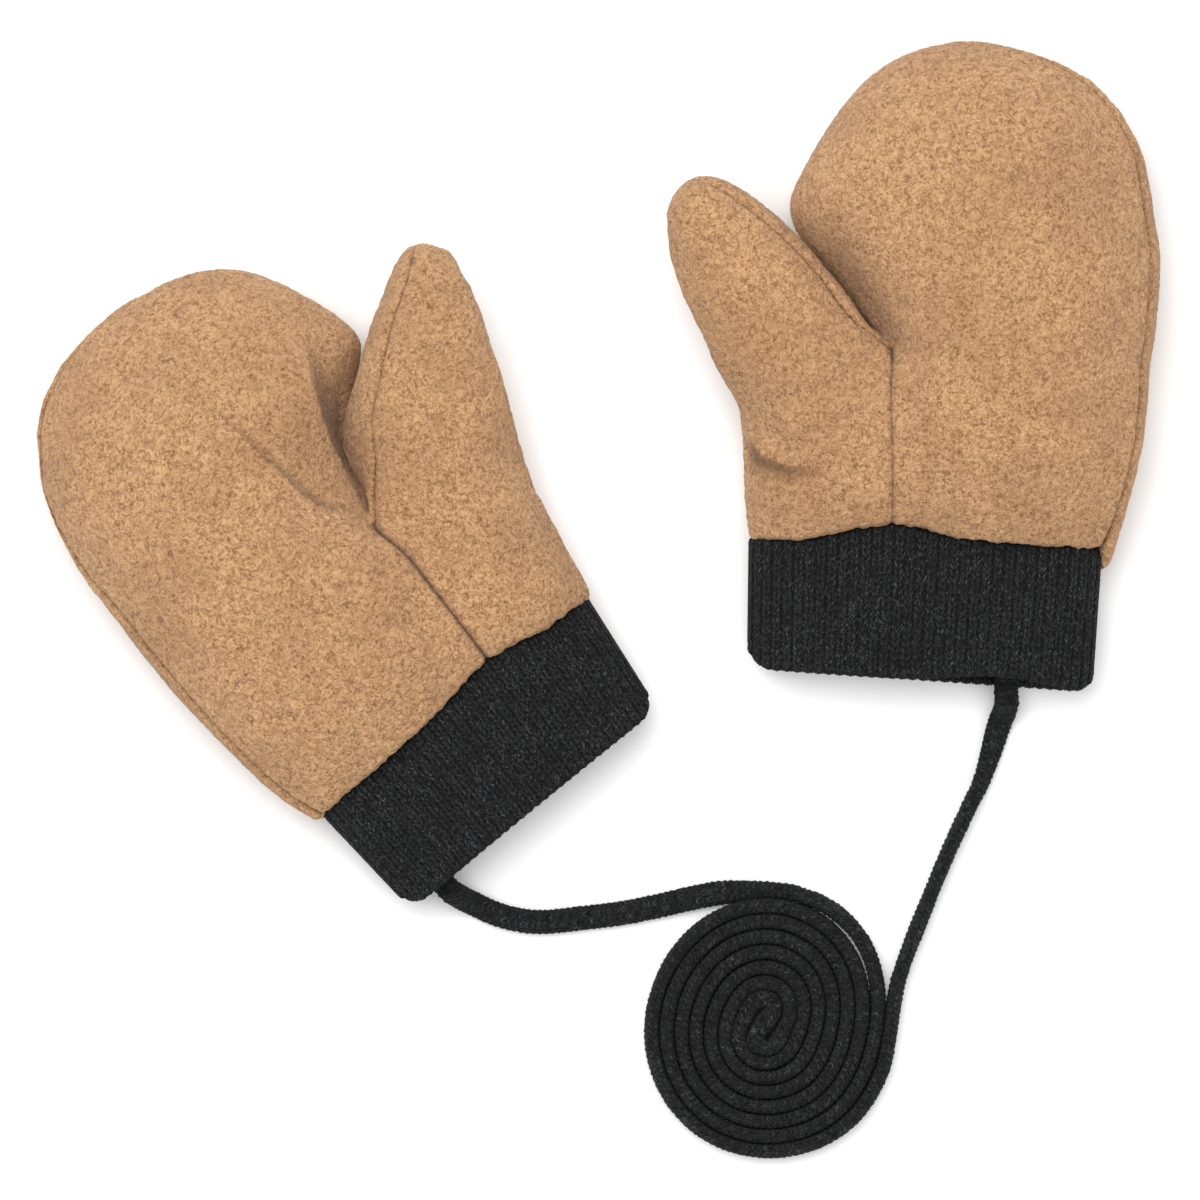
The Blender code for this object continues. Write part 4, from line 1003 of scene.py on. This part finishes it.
def foldRelief(mitten, points):
    # Folds on the upper side: a soft lip on one side of a line, a drop on the other, and its shade.
    flat = unplace(mitten, points)
    rise, shade = np.zeros(len(points)), np.zeros(len(points))
    for fold in mitten["folds"]:
        line = np.array(fold["line"])
        best, side, along = np.full(len(points), 1e9), np.zeros(len(points)), np.zeros(len(points))
        for index in range(len(line) - 1):
            step = line[index + 1] - line[index]
            part = np.clip((flat - line[index]) @ step / (step @ step), 0.0, 1.0)
            gap = flat - line[index] - part[:, None] * step
            away = np.linalg.norm(gap, axis=1)
            closer = away < best
            best[closer] = away[closer]
            side[closer] = np.sign(step[0] * gap[closer, 1] - step[1] * gap[closer, 0])
            along[closer] = (index + part[closer]) / (len(line) - 1)
        fade = np.sin(math.pi * np.clip(along, 0.0, 1.0)) ** 0.7
        fade *= np.clip((points[:, 2] - 15.0) / 3.0, 0.0, 1.0)
        edge = bell(best, fold["width"])
        below = fold["lift"] * edge - fold["depth"] * (1.0 - edge) * bell(best, fold["reach"])
        rise += fade * np.where(side > 0.0, below, fold["lift"] * bell(best, 2.6))
        width = np.where(side > 0.0, fold["shadeWidth"], 0.25)
        middle = np.where(side > 0.0, 0.5 * fold["width"], 0.0)
        shade += fold["shade"] * fade * bell(np.maximum(best - middle, 0.0), width)
    return rise, shade


def shapeSurface(mitten, points, normals, faces, owner):
    # Sinks the seams and the cuff's edge, rolls the cloth beside them, adds folds and soft waves, and paints
    # shade along the seams and folds.
    low, high = np.full(len(points), 9), np.full(len(points), -1)
    for corner in range(3):
        np.minimum.at(low, faces[:, corner], owner)
        np.maximum.at(high, faces[:, corner], owner)
    seams = low != high
    edges = np.sort(np.vstack([faces[:, (corner, (corner + 1) % 3)] for corner in range(3)]), axis=1)
    keys, times = np.unique(edges, axis=0, return_counts=True)
    rim = np.zeros(len(points), dtype=bool)
    rim[keys[times == 1].ravel()] = True
    away, near = nearestOn(points, points[seams], fleece["farthest"])
    # the sewn line beside the thumb shows clearly in some places and hardly in others
    across, along = unplace(mitten, near).T
    heights, strengths = np.array(mitten["seamTrace"]).T
    clear = np.where((across > 2.0) & (near[:, 2] > 10.0), np.interp(along, heights, strengths), 1.0)
    clear = np.clip(clear + 0.35 * smoothNoise(near, 1.7, 6.2) * (1.0 - clear), 0.0, 1.0)
    rise = -fleece["seamDepth"] * (0.25 + 0.75 * clear) * bell(away, fleece["seamWidth"])
    rise += fleece["rollRise"] * clear * bell(away - fleece["rollAt"], fleece["rollWidth"])
    fade = bell(away - 1.8, fleece["puckerReach"]) * np.minimum(1.0, away / 1.5)
    rise += fleece["puckerRise"] * smoothNoise(near, fleece["puckerSize"], 3.1) * fade
    edgeAway, edgeNear = nearestOn(points, points[rim], fleece["farthest"])
    rise -= fleece["edgeDepth"] * bell(edgeAway, fleece["edgeWidth"])
    rise += fleece["edgePucker"] * smoothNoise(edgeNear, fleece["edgePuckerSize"], 8.4) * bell(edgeAway, 7.0)
    rise += fleece["waveRise"] * smoothNoise(points, fleece["waveSize"], 5.5)
    # brushed fleece packs down a little, most at the tip, and not over the cuff
    flat, tip = mitten["inset"]
    reach = np.clip((unplace(mitten, points)[:, 1] - fleece["tipFrom"]) / fleece["tipOver"], 0.0, 1.0)
    rise -= (flat + tip * reach) * (1.0 - bell(edgeAway, 11.0))
    folded, foldShade = foldRelief(mitten, points)
    shaped = points + normals * rise[:, None]
    turn = math.radians(mitten["turn"])
    wobble = fleece["edgeWobble"] * smoothNoise(points, 1.6, 2.7) * bell(edgeAway, 1.2)
    shaped[:, :2] += wobble[:, None] * (-math.sin(turn), math.cos(turn))
    shaped[:, 2] = np.maximum(shaped[:, 2] + folded, fleece["floorGap"])
    # painted shade along the sewn lines, where their grooves are shaded
    shade = 0.85 * clear * bell(away, fleece["seamShade"])
    return shaped, seams, np.minimum(shade + foldShade, fleece["shadeMost"])


def panelMesh(name, chosen, dense, inner):
    # One closed panel: a fine outer side, a coarse inner side, and a rim that joins them.
    points, faces, owner, seams, shade = dense
    innerPoints, innerFaces, innerOwner, twin = inner
    used, own = np.unique(faces[owner == chosen], return_inverse=True)
    own = own.reshape(-1, 3)
    outer = points[used].copy()
    centres = outer[own].mean(axis=1)
    pull = np.zeros_like(outer)
    for corner in range(3):
        np.add.at(pull, own[:, corner], centres)
    pull = pull / np.bincount(own.ravel(), minlength=len(used))[:, None] - outer
    pull /= np.maximum(np.linalg.norm(pull, axis=1), 1e-6)[:, None]
    onSeam = seams[used]
    outer[onSeam] += pull[onSeam] * fleece["seamGap"] / 2.0
    innerUsed, innerOwn = np.unique(innerFaces[innerOwner == chosen], return_inverse=True)
    inside = innerPoints[innerUsed].copy()
    number = {index: position for position, index in enumerate(used.tolist())}
    twins = {number[twin[index]]: position for position, index in enumerate(innerUsed.tolist())
             if twin[index] in number}
    sides = dict.fromkeys((face[corner - 1], face[corner]) for face in own.tolist() for corner in (1, 2, 0))
    links = {start: finish for start, finish in sides if (finish, start) not in sides}
    size = len(used)
    solid = own.tolist()
    solid += [[size + index for index in reversed(face)] for face in innerOwn.reshape(-1, 4).tolist()]
    left = set(links)
    while left:
        # goes once round an open edge, and joins it to the inner side
        first = index = next(index for index in links if index in left and index in twins)
        held = twins[first]
        while index in left:
            left.discard(index)
            ahead = links[index]
            joint = [ahead, index, size + held]
            if twins.get(ahead, held) != held:
                held = twins[ahead]
                joint.append(size + held)
            solid.append(joint)
            index = ahead
    for index, position in twins.items():
        if onSeam[index]:
            inside[position] += pull[index] * fleece["seamGap"] / 2.0
    mesh = makeMesh(name, np.vstack((outer, inside)), solid, fleeceMaterial)
    outside = np.where(onSeam, 0.3, 1.0) * np.clip((outer[:, 2] - 0.1) / 1.2, 0.0, 1.0)
    addValues(mesh, "outside", np.concatenate((outside, np.zeros(len(inside)))))
    # the seam values are painted shade along the seams and folds
    addValues(mesh, "seam", np.concatenate((shade[used], np.zeros(len(inside)))))
    return mesh


def buildFleece(mitten, surface):
    points, faces, panels, _edge = surface
    if mitten["thumbSide"] < 0.0:
        faces = [tuple(reversed(face)) for face in faces]
    net = keepSize(place(mitten, points), faces, panels)
    base, _normals, fine, owner = subdivided(net, faces, panels, fleece["level"])
    base, normals, fine, owner = splitLongEdges(base, fine, owner, fleece["longestEdge"])
    shaped, seams, shade = shapeSurface(mitten, base, normals, fine, owner)
    coarse, _normals, coarseFaces, coarseOwner = subdivided(net, faces, panels, fleece["innerLevel"])
    tree = pointTree(base)
    twin = [tree.find(point)[1] for point in coarse.tolist()]
    inside = base[twin] - normals[twin] * fleece["wall"]
    inside[:, 2] = np.maximum(inside[:, 2], fleece["wall"])
    for chosen, (panel, (width, length, area)) in enumerate(fleece["cuts"].items()):
        name = mitten["title"] + panel.capitalize()
        piece = linkObject(name, panelMesh(name, chosen, (shaped, fine, owner, seams, shade),
                                           (inside, coarseFaces, coarseOwner, twin)))
        runTree(piece, napRelief, Clump_Size=fleece["napSize"] * mm, Clump_Rise=fleece["napRise"] * mm,
                Fibre_Size=fleece["fineSize"] * mm, Fibre_Rise=fleece["fineRise"] * mm,
                Material=fleeceMaterial)
        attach(piece, "root")
        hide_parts(mitten["name"] + "_" + panel)
        print(name, len(piece.data.polygons), "faces")


for mitten, surface in surfaces:
    buildFleece(mitten, surface)


# Ribbed cuffs: a knitted wall folded over at its mouth, with the yarn of every stitch on it

cuffForm = {"ribs": 70, "pointsPerRib": 4, "wall": 2.8, "ribRise": 0.40, "topHeight": 18.4,
            "mouthHeight": 16.6, "squareness": 2.7, "restDepth": 0.35, "outsideRows": 12, "foldRows": 6,
            "insideRows": 8, "underFleece": 2.4, "underDepth": 0.8, "stitchRows": 20, "insideStitchRows": 5,
            "yarnLength": 2.3, "yarnWidth": 0.90, "yarnDepth": 0.84, "yarnApart": 0.40, "yarnLean": 25.0,
            "yarnSink": 0.22, "foldSink": 0.50, "unevenness": 0.12, "seed": 4}


def cuffSection(sides, height, count):
    # Evenly spaced points round a cuff's section, from the thumb's side over the top.
    left, right = sides
    across, up = flatOval(right - left, height, cuffForm["squareness"], 2881)
    up = np.maximum(up + height / 2.0 - cuffForm["restDepth"], 0.0)
    return evenly(np.column_stack((across + (left + right) / 2.0, up)), count, closed=True)[0]


def fleeceEdge(edge, spot):
    # How far along the fleece's lower edge is at the place nearest to one point of the cuff.
    line = np.roll(edge, -1, axis=0) - edge
    flat = line[:, (0, 2)]
    part = ((spot - edge[:, (0, 2)]) * flat).sum(axis=1) / (flat * flat).sum(axis=1)
    near = edge + line * np.clip(part, 0.0, 1.0)[:, None]
    return near[np.argmin(np.linalg.norm(near[:, (0, 2)] - spot, axis=1)), 1]


def cornerLift(across, edge, size):
    # How far the mouth's edge rounds up near one side of the cuff.
    reach = max(0.0, size[0] - abs(edge - across))
    return size[1] * (1.0 - math.sqrt(max(0.0, 1.0 - (reach / size[0]) ** 2)))


def cuffFrame(cuff, edge, count):
    # For each place round the cuff: its section points, its direction out, and where it starts and ends.
    topRing = cuffSection(cuff["top"], cuffForm["topHeight"], count)
    mouthRing = cuffSection(cuff["mouth"], cuffForm["mouthHeight"], count)
    around = np.roll(topRing, -1, axis=0) - np.roll(topRing, 1, axis=0)
    out = unit(np.column_stack((around[:, 1], -around[:, 0])))
    centre, half, lift = cuff["mouthLift"]
    starts = np.array([fleeceEdge(edge, spot) for spot in topRing])
    starts = (starts + np.roll(starts, 1) + np.roll(starts, -1)) / 3.0
    ends = []
    for across, up in mouthRing:
        front = 1.0 / (1.0 + math.exp(-(up - topRing[:, 1].max() / 2.0) / 1.2))
        end = cuff["mouthV"] + front * lift * bell(across - centre, half)
        end += cornerLift(across, cuff["mouth"][1], cuff["corner"][0])
        ends.append(end + cornerLift(across, cuff["mouth"][0], cuff["corner"][1]))
    return topRing, mouthRing, out, starts, ends


def cuffSkin(form, index, part, sink):
    # One point of the cuff's skin: part from 0 at the fleece to 1 at the fold, 1 to 2 round the fold,
    # and 2 to 3 back up inside.
    topRing, mouthRing, out, starts, ends = form
    radius = cuffForm["wall"] / 2.0
    start, low = starts[index] - 0.3, ends[index] + radius
    turned = math.pi * min(max(part - 1.0, 0.0), 1.0)
    along = start + (low - start) * part if part <= 1.0 else low - radius * math.sin(turned)
    if part > 2.0:
        along = low + (start - low) * (part - 2.0)
    share = min(max((start - along) / max(start - low, 1.0), 0.0), 1.0)
    ring = topRing[index] + (mouthRing[index] - topRing[index]) * share
    skin = ring - out[index] * (radius * (1.0 - math.cos(turned)) + sink * math.cos(turned))
    return (skin[0], along + sink * math.sin(turned), skin[1]), turned


def cuffWall(form, count):
    # The wall itself, with its ribs, closed at its hidden upper edge.
    parts = [-1.0] + [row / cuffForm["outsideRows"] for row in range(cuffForm["outsideRows"] + 1)]
    for done, steps in ((1.0, cuffForm["foldRows"]), (2.0, cuffForm["insideRows"])):
        parts += [done + row / steps for row in range(1, steps + 1)]
    points, yarn = [], []
    for part in parts:
        for index in range(count):
            crest = 0.5 + 0.5 * math.cos(2.0 * math.pi * index / cuffForm["pointsPerRib"])
            if part < 0.0:
                x, y, z = cuffSkin(form, index, 0.0, cuffForm["underDepth"])[0]
                y += cuffForm["underFleece"]
            else:
                free = min(1.0, max(form[0][index][1], 0.0) / 2.0 + (0.0 if part <= 1.0 else 1.0))
                x, y, z = cuffSkin(form, index, part, -cuffForm["ribRise"] * (crest - 0.6) * free)[0]
            points.append((x, y, max(z, 0.03)))
            # the rib's crest, for the yarn colour on the ribs and painted shade between them
            yarn.append(crest * 0.55)
    return np.array(points), ringFaces(len(parts), count, closed=True), yarn


def stitchTree():
    # Lays one short length of yarn on each point, leaning one way and then the other.
    tree, start, end = newGroup("ribStitches", "GeometryNodeTree", [
        ("Geometry", "Geometry", None), ("Yarn Length", "Float", 0.0018), ("Yarn Width", "Float", 0.001),
        ("Yarn Depth", "Float", 0.0008), ("Unevenness", "Float", 0.1), ("Seed", "Int", 1),
        ("Material", "Material", None)], [("Geometry", "Geometry")])
    size = addNode(tree, "ShaderNodeCombineXYZ", X=start["Yarn Width"], Y=start["Yarn Depth"],
                   Z=start["Yarn Length"]).outputs[0]
    ball = addNode(tree, "GeometryNodeMeshUVSphere", Segments=6, Rings=4, Radius=0.5).outputs[0]
    spot = addNode(tree, "GeometryNodeInputPosition").outputs[0]
    # how far each point of the yarn faces out, for painted shade on its side toward the wall
    level = maths(tree, "ADD", addNode(tree, "ShaderNodeSeparateXYZ", Vector=spot).outputs["Y"], 0.5)
    strand = addNode(tree, "ShaderNodeVectorMath", {"operation": "MULTIPLY"}, i0=spot,
                     i1=(1.0, 1.0, 0.28)).outputs[0]
    ball = storeValue(tree, "FLOAT", ball, "yarn", level)
    ball = addNode(tree, "GeometryNodeTransform", Geometry=ball, Scale=size).outputs[0]
    ball = storeValue(tree, "FLOAT_VECTOR", ball, "strand", strand)
    turn = addNode(tree, "GeometryNodeInputNamedAttribute", {"data_type": "FLOAT_VECTOR"}, Name="turn")
    uneven = addNode(tree, "FunctionNodeRandomValue", {"data_type": "FLOAT_VECTOR"}, Seed=start["Seed"],
                     i0=maths(tree, "SUBTRACT", 1.0, start["Unevenness"]),
                     i1=maths(tree, "ADD", 1.0, start["Unevenness"]))
    points = addNode(tree, "GeometryNodeMeshToPoints", Mesh=start["Geometry"]).outputs[0]
    laid = addNode(tree, "GeometryNodeInstanceOnPoints", Points=points, Instance=ball,
                   Rotation=turn.outputs[0], Scale=uneven.outputs[0]).outputs[0]
    return endTree(tree, laid, start, end)


ribStitches = stitchTree()


def stitchPoints(mitten, form, count):
    # Where each leg of each stitch lies and how it is turned.
    spots, turns = [], []
    flip = -mitten["thumbSide"]
    width, depth, length = cuffForm["yarnWidth"], cuffForm["yarnDepth"], cuffForm["yarnLength"]
    parts = [row / cuffForm["stitchRows"] for row in range(cuffForm["stitchRows"] + 1)]
    parts += [1.0 + 0.5 * row for row in (0.55, 1.1, 1.65)]
    parts += [2.0 + row / cuffForm["stitchRows"] for row in range(cuffForm["insideStitchRows"])]
    for index in range(0, count, cuffForm["pointsPerRib"]):
        for part in parts:
            sink = cuffForm["foldSink"] if 1.0 < part < 2.0 else cuffForm["yarnSink"]
            here, turned = cuffSkin(form, index, part, sink)
            if here[2] < 0.6 and turned < 0.3:
                continue
            here, ahead, beside, behind = place(mitten, [
                here, cuffSkin(form, index, min(part + 0.03, 3.0), sink)[0],
                cuffSkin(form, (index + 1) % count, part, sink)[0],
                cuffSkin(form, (index - 1) % count, part, sink)[0]])
            along = Vector(ahead - here).normalized()
            across = Vector(beside - behind)
            across = (across - along * across.dot(along)).normalized()
            out = along.cross(across) * flip
            for side in (-1.0, 1.0):
                lean = math.radians(cuffForm["yarnLean"]) * side
                long = along * math.cos(lean) - across * math.sin(lean)
                wide = (across * math.cos(lean) + along * math.sin(lean)) * flip
                spot = here + np.array(across * side * cuffForm["yarnApart"])
                below = 0.56 * math.hypot(width * wide[2], depth * out[2], length * long[2])
                spot[2] = max(spot[2], below + 0.02)  # rests on the floor
                spots.append(spot)
                turns.append(tuple(Matrix((wide, out, long)).transposed().to_euler()))
    return np.array(spots), turns


def buildCuff(mitten, edge):
    title = mitten["title"] + "Cuff"
    count = cuffForm["ribs"] * cuffForm["pointsPerRib"]
    form = cuffFrame(mitten["cuff"], edge, count)
    points, faces, yarn = cuffWall(form, count)
    if mitten["thumbSide"] < 0.0:
        faces = [tuple(reversed(face)) for face in faces]
    wall = linkObject(title, makeMesh(title, place(mitten, points), faces, ribMaterial))
    addValues(wall.data, "yarn", yarn)
    addValues(wall.data, "strand", points * (1.0, 0.3, 1.0) * mm)
    spots, turns = stitchPoints(mitten, form, count)
    stitches = linkObject(title + "Stitches", makeMesh(title + "Stitches", spots, []))
    addValues(stitches.data, "turn", turns)
    addValues(stitches.data, "pick", np.random.default_rng(cuffForm["seed"]).uniform(0.0, 40.0, len(spots)))
    runTree(stitches, ribStitches, Yarn_Length=cuffForm["yarnLength"] * mm,
            Yarn_Width=cuffForm["yarnWidth"] * mm, Yarn_Depth=cuffForm["yarnDepth"] * mm,
            Unevenness=cuffForm["unevenness"], Seed=cuffForm["seed"], Material=ribMaterial)
    for piece in (wall, stitches):
        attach(piece, "root")
    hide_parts(mitten["name"] + "_cuff")
    print(title, len(spots), "yarn lengths")


for mitten, surface in surfaces:
    buildCuff(mitten, surface[3])
